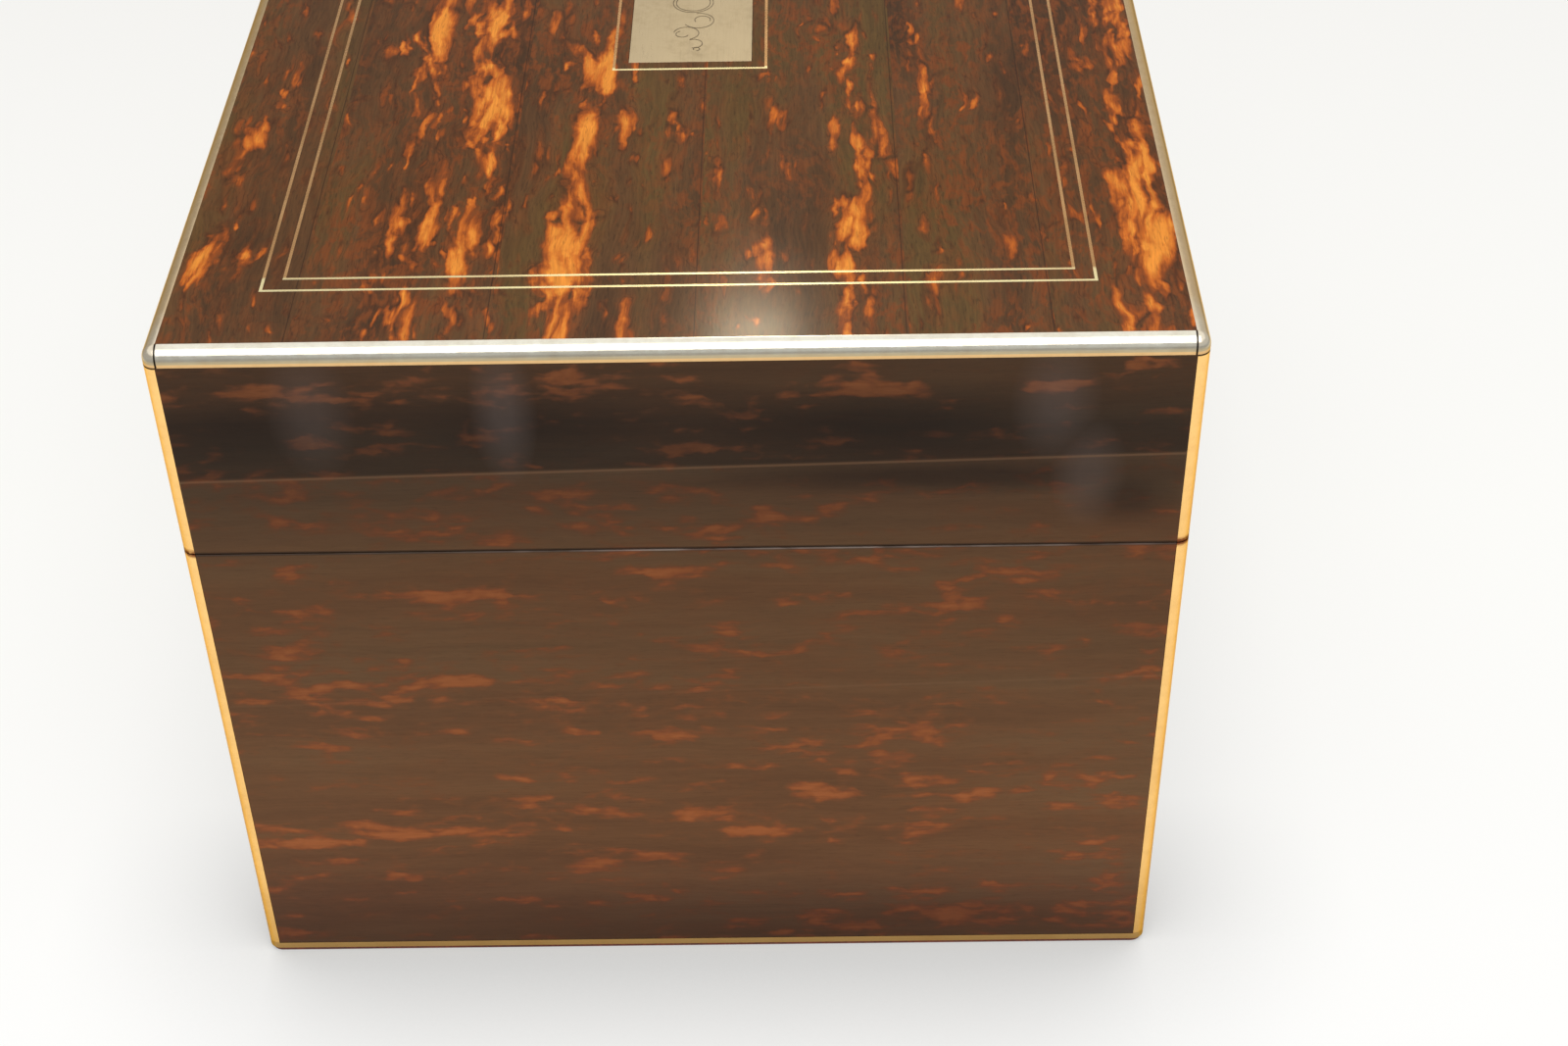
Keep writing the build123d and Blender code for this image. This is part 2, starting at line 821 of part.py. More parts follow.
def tray_walls():
    z = (tray_floor, tray_top)
    walls = [
        block(across(tray_x), (tray_y[0], cell_y[0]), z),
        block(across(tray_x), (cell_y[1], tray_y[1]), z),
    ]
    for side in (-1, 1):
        walls.append(block(outward(side, cell_x, tray_x), cell_y, z))
    return walls


def cross_dividers(y, cells):
    pitch = (2 * cell_x + tray_divider) / cells
    starts = [-cell_x + i * pitch - tray_divider for i in range(1, cells)]
    return [block((start, start + tray_divider), y, divider_z) for start in starts]


def tray_dividers():
    front_y = (row_edges[0], row_edges[0] + tray_divider)
    back_y = (row_edges[1] - tray_divider, row_edges[1])
    dividers = [block(across(cell_x), y, divider_z) for y in (front_y, back_y)]
    dividers += cross_dividers((cell_y[0], row_edges[0]), tray_row_cells)
    dividers += cross_dividers((front_y[1], back_y[0]), tray_middle_cells)
    dividers += cross_dividers((row_edges[1], cell_y[1]), tray_row_cells)
    return dividers


save("tray_bottom", block(across(tray_x), tray_y, (well_floor, tray_floor)))
save("tray_walls", *tray_walls())
save("tray_dividers", *tray_dividers())

# Drawer, behind a front that closes flush with the box.
drawer_x = inside_x - drawer_gap
drawer_z = (case_floor + drawer_gap, bay_top - drawer_gap)
drawer_back = inside_y - push_spring_room
drawer_wall_z = (drawer_z[0] + drawer_bottom, drawer_z[1] - drawer_wall_drop)
drawer_inner_x = drawer_x - drawer_wall


def drawer_walls():
    y = (-inside_y, drawer_back)
    walls = [
        block(outward(side, drawer_inner_x, drawer_x), y, drawer_wall_z) for side in (-1, 1)
    ]
    back_y = (drawer_back - drawer_wall, drawer_back)
    return walls + [block(across(drawer_inner_x), back_y, drawer_wall_z)]


def drawer_lining():
    x = drawer_inner_x - drawer_pad_gap
    y = (-inside_y + drawer_pad_gap, drawer_back - drawer_wall - drawer_pad_gap)
    return block(across(x), y, (drawer_wall_z[0], drawer_wall_z[0] + drawer_pad))


# Bowed leaf between the back of the case and the back of the drawer.
def push_spring():
    wall_y = inside_y - push_spring_gap
    nose_y = drawer_back + push_spring_gap
    back = ThreePointArc(
        (-push_spring_half_length, wall_y), (0, nose_y + push_spring_thickness),
        (push_spring_half_length, wall_y),
    )
    front = ThreePointArc(
        (-push_spring_half_length, wall_y - push_spring_thickness), (0, nose_y),
        (push_spring_half_length, wall_y - push_spring_thickness),
    )
    ends = [Line(back @ 0, front @ 0), Line(back @ 1, front @ 1)]
    face = make_face([back, front] + ends)
    low = (drawer_wall_z[0] + drawer_wall_z[1] - push_spring_height) / 2
    return extrude(Pos(0, 0, low) * face, push_spring_height, dir=(0, 0, 1))


save("drawer_front", block(across(drawer_x), (-half_depth + veneer, -inside_y), drawer_z))
save("drawer_veneer", block(across(drawer_x), (-half_depth, -half_depth + veneer), drawer_z))
save("drawer_walls", *drawer_walls())
save("drawer_bottom", block(
    across(drawer_x), (-inside_y, drawer_back), (drawer_z[0], drawer_wall_z[0])
))
save("drawer_lining", drawer_lining())
save("drawer_spring", push_spring())


# Strike: an angle on the inside of the drawer front, with a hole for the catch's nose.
nose_x = catch_button_x + catch_spring_half_width + strike_width / 2 - strike_play
nose_y = -inside_y + strike_reach / 2 + strike_thickness / 2


def drawer_strike():
    x = (nose_x - strike_width / 2, nose_x + strike_width / 2)
    flange = block(
        x, (-inside_y, -inside_y + strike_thickness), (strike_top - strike_flange, strike_top)
    )
    tongue = block(
        x, (-inside_y, -inside_y + strike_reach), (strike_top - strike_thickness, strike_top)
    )
    hole = block(
        (nose_x - catch_nose_width / 2 - strike_play, nose_x + catch_nose_width / 2 + strike_play),
        (nose_y - catch_nose_depth / 2 - strike_play, nose_y + catch_nose_depth / 2 + strike_play),
        (strike_top - strike_thickness, strike_top),
    )
    return flange + tongue - hole


# Catch: a leaf from the dust board's underside to the front, whose nose stands in the strike.
def catch_spring():
    fixed = leaf_y[1]
    bend = fixed - catch_spring_foot
    level_end = nose_y + catch_nose_depth / 2 + strike_play
    profile = Polyline(
        (fixed, bay_top), (bend, bay_top), (level_end + strike_reach, leaf_top), (leaf_y[0], leaf_top),
        (leaf_y[0], leaf_top - catch_spring_thickness),
        (level_end + strike_reach, leaf_top - catch_spring_thickness),
        (bend, bay_top - catch_spring_thickness), (fixed, bay_top - catch_spring_thickness),
        close=True,
    )
    face = Plane.YZ * make_face(profile)
    left = catch_button_x - catch_spring_half_width
    right = nose_x + catch_nose_width / 2
    leaf = extrude(Pos(left, 0, 0) * face, right - left, dir=(1, 0, 0))
    nose = block(
        (nose_x - catch_nose_width / 2, nose_x + catch_nose_width / 2),
        (nose_y - catch_nose_depth / 2, nose_y + catch_nose_depth / 2),
        (leaf_top - catch_spring_thickness, strike_top),
    )
    return leaf + nose


save("drawer_strike", drawer_strike())
save("catch_spring", catch_spring())
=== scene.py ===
import math

import bmesh
import bpy
from mathutils import Matrix, Vector


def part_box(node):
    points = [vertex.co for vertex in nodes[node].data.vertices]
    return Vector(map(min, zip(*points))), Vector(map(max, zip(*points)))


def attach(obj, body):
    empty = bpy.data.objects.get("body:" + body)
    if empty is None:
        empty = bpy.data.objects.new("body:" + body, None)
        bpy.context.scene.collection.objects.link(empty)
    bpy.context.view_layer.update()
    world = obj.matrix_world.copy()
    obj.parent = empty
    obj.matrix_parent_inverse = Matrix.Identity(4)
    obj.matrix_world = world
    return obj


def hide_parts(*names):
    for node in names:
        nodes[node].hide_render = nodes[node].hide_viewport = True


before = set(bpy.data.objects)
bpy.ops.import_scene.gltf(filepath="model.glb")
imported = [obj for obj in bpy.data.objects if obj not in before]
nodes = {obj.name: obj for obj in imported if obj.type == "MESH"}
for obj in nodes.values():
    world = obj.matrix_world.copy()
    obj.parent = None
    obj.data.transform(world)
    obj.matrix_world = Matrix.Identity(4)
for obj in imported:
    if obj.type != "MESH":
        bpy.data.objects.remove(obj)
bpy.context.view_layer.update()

mm = 0.001
boxSize = {"halfLength": 152.5, "halfDepth": 114.5, "height": 193.0, "parting": 136.5}


def tone(red, green, blue):
    # a screen colour, 0 to 255, as the linear colour that shaders take
    def linear(value):
        value = value / 255
        return value / 12.92 if value <= 0.04045 else ((value + 0.055) / 1.055) ** 2.4
    return (linear(red), linear(green), linear(blue), 1.0)


def grey(value):
    return (value, value, value, 1.0)


def addNode(tree, kind, inputs, settings):
    # inputs holds sockets to link and constants to set
    node = tree.nodes.new("ShaderNode" + kind)
    for name, value in settings.items():
        setattr(node, name, value)
    for name, value in inputs.items():
        if isinstance(value, bpy.types.NodeSocket):
            tree.links.new(value, node.inputs[name])
        else:
            node.inputs[name].default_value = value
    return node


class Finish:
    # one material, with short ways to add its nodes
    def __init__(self, name, **sockets):
        self.material = bpy.data.materials.new(name)
        self.material.use_nodes = True
        self.tree = self.material.node_tree
        self.tree.nodes.clear()
        self.output = self.add("OutputMaterial")
        self.shader = self.add("BsdfPrincipled")
        self.link(self.shader.outputs["BSDF"], self.output.inputs["Surface"])
        for socket, value in sockets.items():
            self.shader.inputs[socket.replace("_", " ")].default_value = value
        self.place = self.add("TexCoord").outputs["Object"]

    def link(self, start, end):
        self.tree.links.new(start, end)

    def add(self, kind, inputs=None, **settings):
        return addNode(self.tree, kind, inputs or {}, settings)

    def maths(self, operation, first, second=0.0):
        return self.add("Math", {0: first, 1: second}, operation=operation).outputs[0]

    def plus(self, first, second):
        return self.maths("ADD", first, second)

    def minus(self, first, second):
        return self.maths("SUBTRACT", first, second)

    def times(self, first, second):
        return self.maths("MULTIPLY", first, second)

    def most(self, *values):
        top = values[0]
        for value in values[1:]:
            top = self.maths("MAXIMUM", top, value)
        return top

    def far(self, value, middle=None):
        # how far a value is from middle, or from nought
        if middle is not None:
            value = self.minus(value, middle)
        return self.maths("ABSOLUTE", value)

    def span(self, value, low, high, start=0.0, end=1.0):
        node = self.add("MapRange", {"Value": value, "From Min": low, "From Max": high,
                                     "To Min": start, "To Max": end})
        return node.outputs[0]

    def split(self, vector):
        return self.add("SeparateXYZ", {0: vector}).outputs

    def join(self, x, y, z):
        return self.add("CombineXYZ", {0: x, 1: y, 2: z}).outputs[0]

    def shift(self, vector, offset, operation="ADD"):
        return self.add("VectorMath", {0: vector, 1: offset}, operation=operation).outputs[0]

    def millimetres(self):
        return self.shift(self.place, (1000, 1000, 1000), "MULTIPLY")

    def stretch(self, vector, scale):
        return self.add("Mapping", {"Vector": vector, "Scale": scale}).outputs[0]

    def noise(self, vector, size, detail, rough, distortion=0.0, colour=False):
        node = self.add("TexNoise", {"Vector": vector, "Scale": 1 / size, "Detail": detail,
                                     "Roughness": rough, "Distortion": distortion})
        return node.outputs["Color" if colour else 0]

    def cells(self, vector, size):
        # the distance to the nearest border between cells
        node = self.add("TexVoronoi", {"Vector": vector, "Scale": 1 / size},
                        feature="DISTANCE_TO_EDGE")
        return node.outputs["Distance"]

    def ramp(self, factor, stops, interpolation="LINEAR"):
        node = self.add("ValToRGB", {0: factor})
        node.color_ramp.interpolation = interpolation
        elements = node.color_ramp.elements
        while len(elements) < len(stops):
            elements.new(0.5)
        for element, (position, colour) in zip(elements, stops):
            element.position = position
            element.color = colour if len(colour) == 4 else (*colour, 1.0)
        return node.outputs[0]

    def mix(self, factor, first, second, blend="MIX"):
        node = self.add("Mix", {0: factor, 6: first, 7: second}, data_type="RGBA",
                        blend_type=blend)
        return node.outputs[2]

    def darken(self, colour, factor):
        return self.mix(1.0, colour, self.join(factor, factor, factor), "MULTIPLY")

    def bump(self, height, distance, strength):
        return self.add("Bump", {"Height": height, "Distance": distance,
                                 "Strength": strength}).outputs[0]

    def use(self, colour, roughness=None, normal=None):
        for name, value in (("Base Color", colour), ("Roughness", roughness),
                            ("Normal", normal)):
            if value is not None:
                self.link(value, self.shader.inputs[name])
        return self.material


def dress(material, *names):
    # a CAD node gets its finish through its own material slots
    for name in names:
        mesh = nodes[name].data
        mesh.materials.clear()
        mesh.materials.append(material)


def finishPiece(name, bm, body, material, replaced=(), smoothAngle=30):
    mesh = bpy.data.meshes.new(name)
    bm.to_mesh(mesh)
    bm.free()
    for polygon in mesh.polygons:
        polygon.use_smooth = True
    mesh.set_sharp_from_angle(angle=math.radians(smoothAngle))
    piece = bpy.data.objects.new(name, mesh)
    bpy.context.scene.collection.objects.link(piece)
    mesh.materials.append(material)
    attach(piece, body)
    if replaced:
        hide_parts(*replaced)
    return piece


def addBlock(bm, low, high):
    # a block between two corners, as new geometry of bm
    made = bmesh.ops.create_cube(bm, size=1.0)["verts"]
    low, high = Vector(low), Vector(high)
    bmesh.ops.scale(bm, vec=high - low, verts=made)
    bmesh.ops.translate(bm, vec=(low + high) / 2, verts=made)
    return made


def edgesOf(verts, test):
    # a dictionary keeps the edges in the same order in every run
    found = dict.fromkeys(edge for vert in verts for edge in vert.link_edges)
    return [edge for edge in found if edge.verts[0] in verts and edge.verts[1] in verts
            and test(*(vert.co for vert in edge.verts))]


def roundEdges(bm, edges, width, segments):
    return bmesh.ops.bevel(bm, geom=edges, offset=width, offset_type="OFFSET",
                           segments=segments, profile=0.5, affect="EDGES", material=-1,
                           clamp_overlap=True)


def partSolids(bm):
    # solids that touch along an edge are taken apart there
    left = dict.fromkeys(bm.faces)
    while left:
        group, near = [], [left.popitem()[0]]
        while near:
            face = near.pop()
            group.append(face)
            for edge in face.edges:
                if len(edge.link_faces) == 2:
                    for other in edge.link_faces:
                        if other in left:
                            del left[other]
                            near.append(other)
        bmesh.ops.split(bm, geom=group)
    # the touching faces that both solids shared
    bmesh.ops.holes_fill(bm, edges=[edge for edge in bm.edges if edge.is_boundary], sides=0)
    bmesh.ops.recalc_face_normals(bm, faces=bm.faces)


# for copies of CAD nodes: merge in metres, the rest in degrees
copying = {"merge": 2e-6, "flat": 0.5, "sharp": 35, "smooth": 25}


def softened(node, body, material, width, segments):
    # a copy of a CAD node with its sharp arrises eased
    bm = bmesh.new()
    bm.from_mesh(nodes[node].data)
    bmesh.ops.remove_doubles(bm, verts=bm.verts, dist=copying["merge"])
    if any(len(edge.link_faces) > 2 for edge in bm.edges):
        partSolids(bm)
    bmesh.ops.dissolve_limit(bm, angle_limit=math.radians(copying["flat"]), verts=bm.verts,
                             edges=bm.edges)
    sharp = [edge for edge in bm.edges if len(edge.link_faces) == 2
             and edge.calc_face_angle() > math.radians(copying["sharp"])]
    roundEdges(bm, sharp, width * mm, segments)
    return finishPiece(node + "_soft", bm, body, material, (node,), copying["smooth"])


leafEdges = (-84.0, -41.0, 4.0, 49.5, 81.0)     # joints between the leaves of the top
leafNumbers = (0.12, 0.55, 0.93, 0.31, 0.77, 0.05)     # which stretch of figure each leaf has
vividFigure = {
    "dark": tone(72, 46, 23), "brown": tone(92, 61, 32), "olive": tone(91, 66, 31),
    "outline": tone(46, 27, 11), "ring": tone(118, 61, 23), "rust": tone(142, 69, 21),
    "orange": tone(192, 99, 28), "amber": tone(228, 141, 50),
}
quietFigure = {
    "dark": tone(92, 60, 36), "brown": tone(102, 69, 42), "olive": tone(103, 73, 46),
    "outline": tone(82, 51, 30), "ring": tone(112, 68, 38), "rust": tone(126, 69, 38),
    "orange": tone(139, 76, 38), "amber": tone(153, 86, 44),
}
figures = {
    "top": {
        "axes": (0, 1, 2),                # along, across and through the grain
        "leaves": True,
        "palette": vividFigure, "stretch": 4.2, "size": 5.5, "threshold": 0.625,
        "crisp": 0.03, "strength": 0.95, "clouds": 1.0, "swirl": 0.4, "crack": 0.6,
        "lobes": 0.06, "grit": 0.1, "flecks": (0.04, 0.85), "fibre": (0.80, 1.16), "pore": 0.72,
        "wander": ((14.0, 6.0, 6.0), (5.0, 2.6, 2.6)),
        # where orange figure gathers: middle, half width, strength, in mm across the lid
        "bands": ((-104, 8, 0.06), (-62, 10, 0.09), (-48, 6, 0.14), (-26, 7, 0.06),
                  (-12, 4, 0.05), (18, 5, 0.06), (39, 6, 0.09), (58, 4, 0.06),
                  (86, 4, 0.05), (104, 9, 0.12)),
        # where the ground is mottled with rust
        "mottled": ((-55, 20, 0.30), (-28, 12, 0.16), (-104, 14, 0.16), (12, 24, 0.08),
                    (40, 10, 0.14), (60, 14, 0.20), (100, 18, 0.34)),
        # single patches: along, across, half length, half width, strength
        "patches": ((14, -52, 32, 5, 0.26), (56, -47, 22, 5.5, 0.26), (102, -42, 34, 2.5, 0.17),
                    (120, -50, 26, 3, 0.13), (37, -22, 10, 4.2, 0.26), (63, -23, 15, 3.6, 0.26),
                    (122, -26, 36, 6, 0.28), (60, -15, 22, 2.2, 0.17), (34, -14, 10, 2, 0.13),
                    (66, 0.5, 6, 3, 0.24), (25, -66, 18, 4, 0.20), (96, -65, 18, 3, 0.18),
                    (106, -57, 12, 3, 0.18), (20, -72, 6, 3, 0.18), (37, 40, 14, 2.4, 0.18),
                    (54, 41, 7, 2.8, 0.20), (69, 36, 8, 2, 0.16), (78, 43, 8, 3.4, 0.20),
                    (105, 37, 12, 4.6, 0.23), (123, 37, 8, 4.5, 0.22), (138, 37, 10, 3, 0.20),
                    (103, 16, 6, 2.5, 0.18), (119, 17, 8, 3.6, 0.24), (14, 108, 28, 3.4, 0.20),
                    (106, 105, 38, 6, 0.24), (84, 108, 12, 3.6, 0.22),
                    (118, -106, 14, 3.4, 0.22), (120, -98, 9, 3, 0.19), (66, -103, 6, 3.4, 0.20),
                    (35, -100, 14, 2.6, 0.15), (60, 102, 14, 2, 0.15), (50, 57, 28, 2.2, 0.12),
                    (16, 54, 12, 2.4, 0.12), (142, -60, 10, 3, 0.14), (-60, -36, 34, 7, 0.22),
                    (-104, 28, 40, 6, 0.20), (-30, 60, 26, 5, 0.18), (-122, -76, 22, 6, 0.20),
                    (-74, 92, 30, 5, 0.18)),
    },
    "long": {
        "axes": (0, 2, 1),
        "palette": vividFigure, "stretch": 4.0, "size": 6.0,
        "threshold": 0.60, "crisp": 0.03, "strength": 0.75, "clouds": 0.7, "swirl": 0.3,
        "crack": 0.5, "lobes": 0.06, "grit": 0.15, "flecks": (0.1, 0.7),
        "fibre": (0.84, 1.12), "pore": 0.78,
        "wander": ((14.0, 6.0, 6.0), (4.0, 2.4, 2.4)),
        "bands": (), "mottled": (), "patches": (),
    },
    "end": {
        "axes": (1, 2, 0),
        "palette": quietFigure, "stretch": 3.0, "size": 4.2,
        "threshold": 0.65, "crisp": 0.07, "strength": 0.8, "clouds": 0.5, "swirl": 0.0,
        "crack": 0.0, "lobes": 0.0, "grit": 0.5, "flecks": (0.0, 0.3),
        "fibre": (0.93, 1.06), "pore": 0.9,
        "wander": ((8.0, 3.0, 3.0), (3.0, 1.4, 1.4)),
        "bands": (), "mottled": (),
        "patches": ((-75, 44.5, 42, 3.6, 0.37), (-96, 41, 22, 2.8, 0.33),
                    (-92, 95.5, 16, 2.8, 0.245), (-54, 96, 13, 2.2, 0.245),
                    (-104, 98, 6, 2, 0.195), (-70, 124, 30, 2.4, 0.165),
                    (-97, 106, 6, 2.2, 0.205), (-44, 63, 6, 2.6, 0.245),
                    (-58, 80, 5, 2.2, 0.205), (-35, 52, 10, 3.4, 0.225),
                    (-20, 50, 7, 2.2, 0.205), (-12, 63, 9, 2.2, 0.225), (-5, 50, 15, 4, 0.235),
                    (13, 44, 11, 2.6, 0.245), (30, 57, 9, 3.4, 0.235), (68, 56.5, 7, 3.2, 0.245),
                    (80, 57, 5, 3.2, 0.195), (97, 57, 10, 4, 0.175), (-26, 31, 9, 2.8, 0.245),
                    (-12, 35, 6, 2, 0.195), (0, 28.5, 4, 1.8, 0.195), (20, 28, 4, 2, 0.195),
                    (-45, 18, 8, 2.6, 0.245), (-105, 14, 6, 2.2, 0.175), (68, 25, 6, 2, 0.205),
                    (60, 12, 12, 3.2, 0.195), (80, 10, 8, 4, 0.215), (105, 25, 7, 3, 0.175),
                    (56, 78, 24, 3, 0.155), (10, 74, 22, 3.4, 0.135), (28, 70, 7, 3.2, 0.155),
                    (85, 127, 7, 1.8, 0.235), (70, 118, 26, 3, 0.135), (42, 116, 10, 1.2, 0.195),
                    (-2, 129, 8, 2.2, 0.195), (-35, 134, 11, 1.8, 0.175),
                    (-90, 131, 11, 2.6, 0.155), (8, 142, 5, 1.8, 0.215),
                    (-12, 142, 6, 1.8, 0.195), (30, 140, 12, 1.8, 0.175),
                    (18, 147, 5, 1.6, 0.175), (-95, 183, 10, 3.2, 0.265),
                    (-28, 183, 16, 3.4, 0.265), (45, 181, 11, 2.4, 0.265),
                    (78, 181, 11, 3, 0.285), (105, 186, 9, 2.2, 0.225),
                    (-80, 168, 8, 2.8, 0.245), (-64, 166, 7, 2.2, 0.225),
                    (2, 165, 16, 2.8, 0.245), (16, 170, 4, 1.8, 0.245)),
        # painted shade by height, darker towards the foot and the lid: height in mm, then red,
        # green and blue
        "shade": ((4, (0.48, 0.46, 0.50)), (19, (0.73, 0.70, 0.78)), (42, (0.98, 0.98, 0.98)),
                  (85, (0.87, 0.90, 0.93)), (106, (0.75, 0.77, 0.79)),
                  (130, (0.71, 0.72, 0.73)), (141, (0.60, 0.60, 0.62)),
                  (148, (0.52, 0.54, 0.58)), (156, (0.42, 0.46, 0.52)),
                  (172, (0.40, 0.46, 0.56)), (184, (0.80, 0.86, 0.94))),
        "leafHeight": 160.4, "leafSlope": 0.0214, "leafShade": (0.48, 0.70),
        # painted shade and painted dark reflections: along, height, half length, half height,
        # strength
        "paintedShadeAndReflections": ((46, 172, 34, 10, 0.45), (60, 157, 56, 5, 0.55), (-34, 172, 22, 9, 0.3),
                    (100, 150, 10, 8, 0.5), (-96, 170, 18, 8, 0.3), (20, 13, 84, 11, 0.26)),
        # greyish bloom on the polish
        "bloomed": ((-80, 177, 8, 16, 0.14), (-38, 176, 6, 17, 0.20), (82, 177, 8, 14, 0.18),
                    (90, 157, 7, 13, 0.16)),
        # pale hairlines: height, slope, strength
        "hairlines": ((160.4, 0.0214, 0.22), (92.5, 0.03, 0.12)),
    },
}


# noise in the wood: how many times longer along the grain, size in mm, detail, roughness
layers = {
    "streak": (12, 11.0, 1.0, 0.5),
    "grit": (2.6, 1.9, 1.0, 0.5),
    "region": (2.5, 26.0, 1.0, 0.5),
    "small": (3.4, 2.8, 1.0, 0.5),
    "cloud": (7, 20.0, 2.0, 0.5),
    "stripe": (22, 2.6, 3.0, 0.6),
    "fleck": (2.6, 2.4, 2.0, 0.6),
    "flame": (9, 1.3, 2.0, 0.5),
    "fibre": (16, 0.6, 3.0, 0.65),
    "pore": (7, 0.45, 1.0, 0.5),
}


def layerNoise(look, vector, layer):
    longer, size, detail, rough = layers[layer]
    return look.noise(look.stretch(vector, (1 / longer, 1, 1)), size, detail, rough)


def wander(look, vector, size, detail, reach):
    # moves a place about at random, by up to half of reach in mm
    colour = look.noise(vector, size, detail, 0.5, colour=True)
    centred = look.shift(colour, (0.5, 0.5, 0.5), "SUBTRACT")
    return look.shift(vector, look.shift(centred, reach, "MULTIPLY"))


def bandSum(look, across, bands, reach):
    found = [look.span(look.far(across, float(middle)), 0.0, half * reach, strength, 0.0)
             for middle, half, strength in bands]
    return look.most(*found)


def spots(look, vector, centres):
    # soft ellipses on a face: along, across, half length, half width, strength
    found = []
    for along, across, halfLength, halfWidth, strength in centres:
        near = look.add("Mapping", {"Vector": vector, "Location": (along, across, 0.0),
                                    "Scale": (halfLength, halfWidth, 10000.0)},
                        vector_type="TEXTURE").outputs[0]
        distance = look.add("VectorMath", {0: near}, operation="LENGTH").outputs["Value"]
        found.append(look.span(distance, 0.3, 1.25, strength, 0.0))
    return look.most(*found)


def grainFields(look, plan):
    # places in mm along, across and through the grain, plain and bent
    parts = look.split(look.millimetres())
    along, across, through = (parts[axis] for axis in plan["axes"])
    fields = {"along": along, "across": across, "through": through,
              "flat": look.join(along, across, through)}
    if plan.get("leaves"):
        # every leaf of veneer has its own stretch of figure
        depth = boxSize["halfDepth"]
        stops = [((edge + depth) / (2 * depth), grey(number))
                 for edge, number in zip((-depth, *leafEdges), leafNumbers)]
        leaf = look.ramp(look.span(across, -depth, depth), stops, "CONSTANT")
        along = look.plus(along, look.times(leaf, 900.0))
        through = look.plus(through, look.times(leaf, 70.0))
    fields["grain"] = look.join(along, across, through)
    fields["bent"] = wander(look, fields["grain"], 24.0, 1.0, plan["wander"][0])
    fields["wavy"] = wander(look, fields["bent"], 4.0, 2.0, (3.0, 1.8, 1.8))
    return fields


def addFigure(look, plan, fields):
    # blotches along the grain, parted into lobes by dark cracks: figure is light above 0.5
    bent, wavy, flat = fields["bent"], fields["wavy"], fields["flat"]
    blotch = look.noise(look.stretch(wavy, (1 / plan["stretch"], 1, 1)), plan["size"], 1.5, 0.5)
    streak = look.minus(layerNoise(look, bent, "streak"), 0.5)
    figure = look.plus(blotch, look.times(streak, 0.4))
    lobe = look.cells(look.stretch(wavy, (1 / 2.6, 1, 1)), 8.0)
    figure = look.minus(figure, look.span(lobe, 0.01, 0.10, plan["lobes"], 0.0))
    grit = look.minus(layerNoise(look, wavy, "grit"), 0.5)
    figure = look.plus(figure, look.times(plan["grit"], grit))
    region = layerNoise(look, bent, "region")
    if plan["bands"]:
        sway = look.split(wander(look, flat, 40.0, 1.0, (0.0, 8.0, 0.0)))[1]
        band = bandSum(look, sway, plan["bands"], 1.6)
        small = look.plus(layerNoise(look, wavy, "small"), look.times(band, 1.1))
        figure = look.plus(figure, look.minus(band, 0.05))
        figure = look.most(figure, look.plus(small, -0.11))
        region = look.plus(region, bandSum(look, sway, plan["mottled"], 1.3))
    if plan["patches"]:
        fields["loose"] = wander(look, wander(look, flat, 24.0, 1.0, plan["wander"][0]), 5.0,
                                 3.0, plan["wander"][1])
        figure = look.plus(figure, spots(look, fields["loose"], plan["patches"]))
    figure = look.minus(figure, plan["threshold"] - 0.5)
    fields.update(blotch=blotch, lobe=lobe, region=region, figure=figure)


def groundColour(look, plan, fields):
    # smooth dark brown with olive and rusty clouds
    shades, bent, figure = plan["palette"], fields["bent"], fields["figure"]
    fields["cloud"] = layerNoise(look, bent, "cloud")
    calm = 1.0 - plan["clouds"]
    dark = tuple(a + (b - a) * calm for a, b in zip(shades["dark"], shades["brown"]))
    ground = look.ramp(fields["cloud"], [(0.36, dark), (0.50, shades["brown"]),
                                         (0.62, shades["olive"])])
    stripe = layerNoise(look, bent, "stripe")
    ground = look.darken(ground, look.span(stripe, 0.3, 0.7, 0.84 + 0.16 * calm,
                                           1.12 - 0.12 * calm))
    fleck = layerNoise(look, fields["wavy"], "fleck")
    fleckMask = look.times(look.span(fleck, 0.45, 0.62),
                           look.span(fields["region"], 0.46, 0.66, *plan["flecks"]))
    halo = look.span(figure, 0.34, 0.5, 0.0, 0.55)
    ground = look.mix(look.most(fleckMask, halo), ground, shades["ring"])
    # dark cracks and swirls in and around the figured parts
    nearFigure = look.span(figure, 0.36, 0.48)
    crack = look.times(look.span(fields["lobe"], 0.01, 0.07, plan["crack"], 0.0), nearFigure)
    swirl = look.maths("SINE", look.times(fields["blotch"], 90.0))
    swirl = look.times(look.span(swirl, 0.5, 0.95, 0.0, plan["swirl"]), nearFigure)
    return look.mix(look.most(crack, swirl), ground, shades["outline"])


def addLight(look, plan, fields, ground):
    # the orange figure, from its rusty rim to its amber core
    shades, figure = plan["palette"], fields["figure"]
    flame = look.minus(layerNoise(look, fields["wavy"], "flame"), 0.5)
    light = look.ramp(look.plus(figure, look.times(flame, 0.32)),
                      [(0.44, shades["ring"]), (0.53, shades["rust"]),
                       (0.61, shades["orange"]), (0.74, shades["amber"])])
    mask = look.span(figure, 0.5 - plan["crisp"], 0.5 + plan["crisp"])
    return look.mix(look.times(mask, plan["strength"]), ground, light)


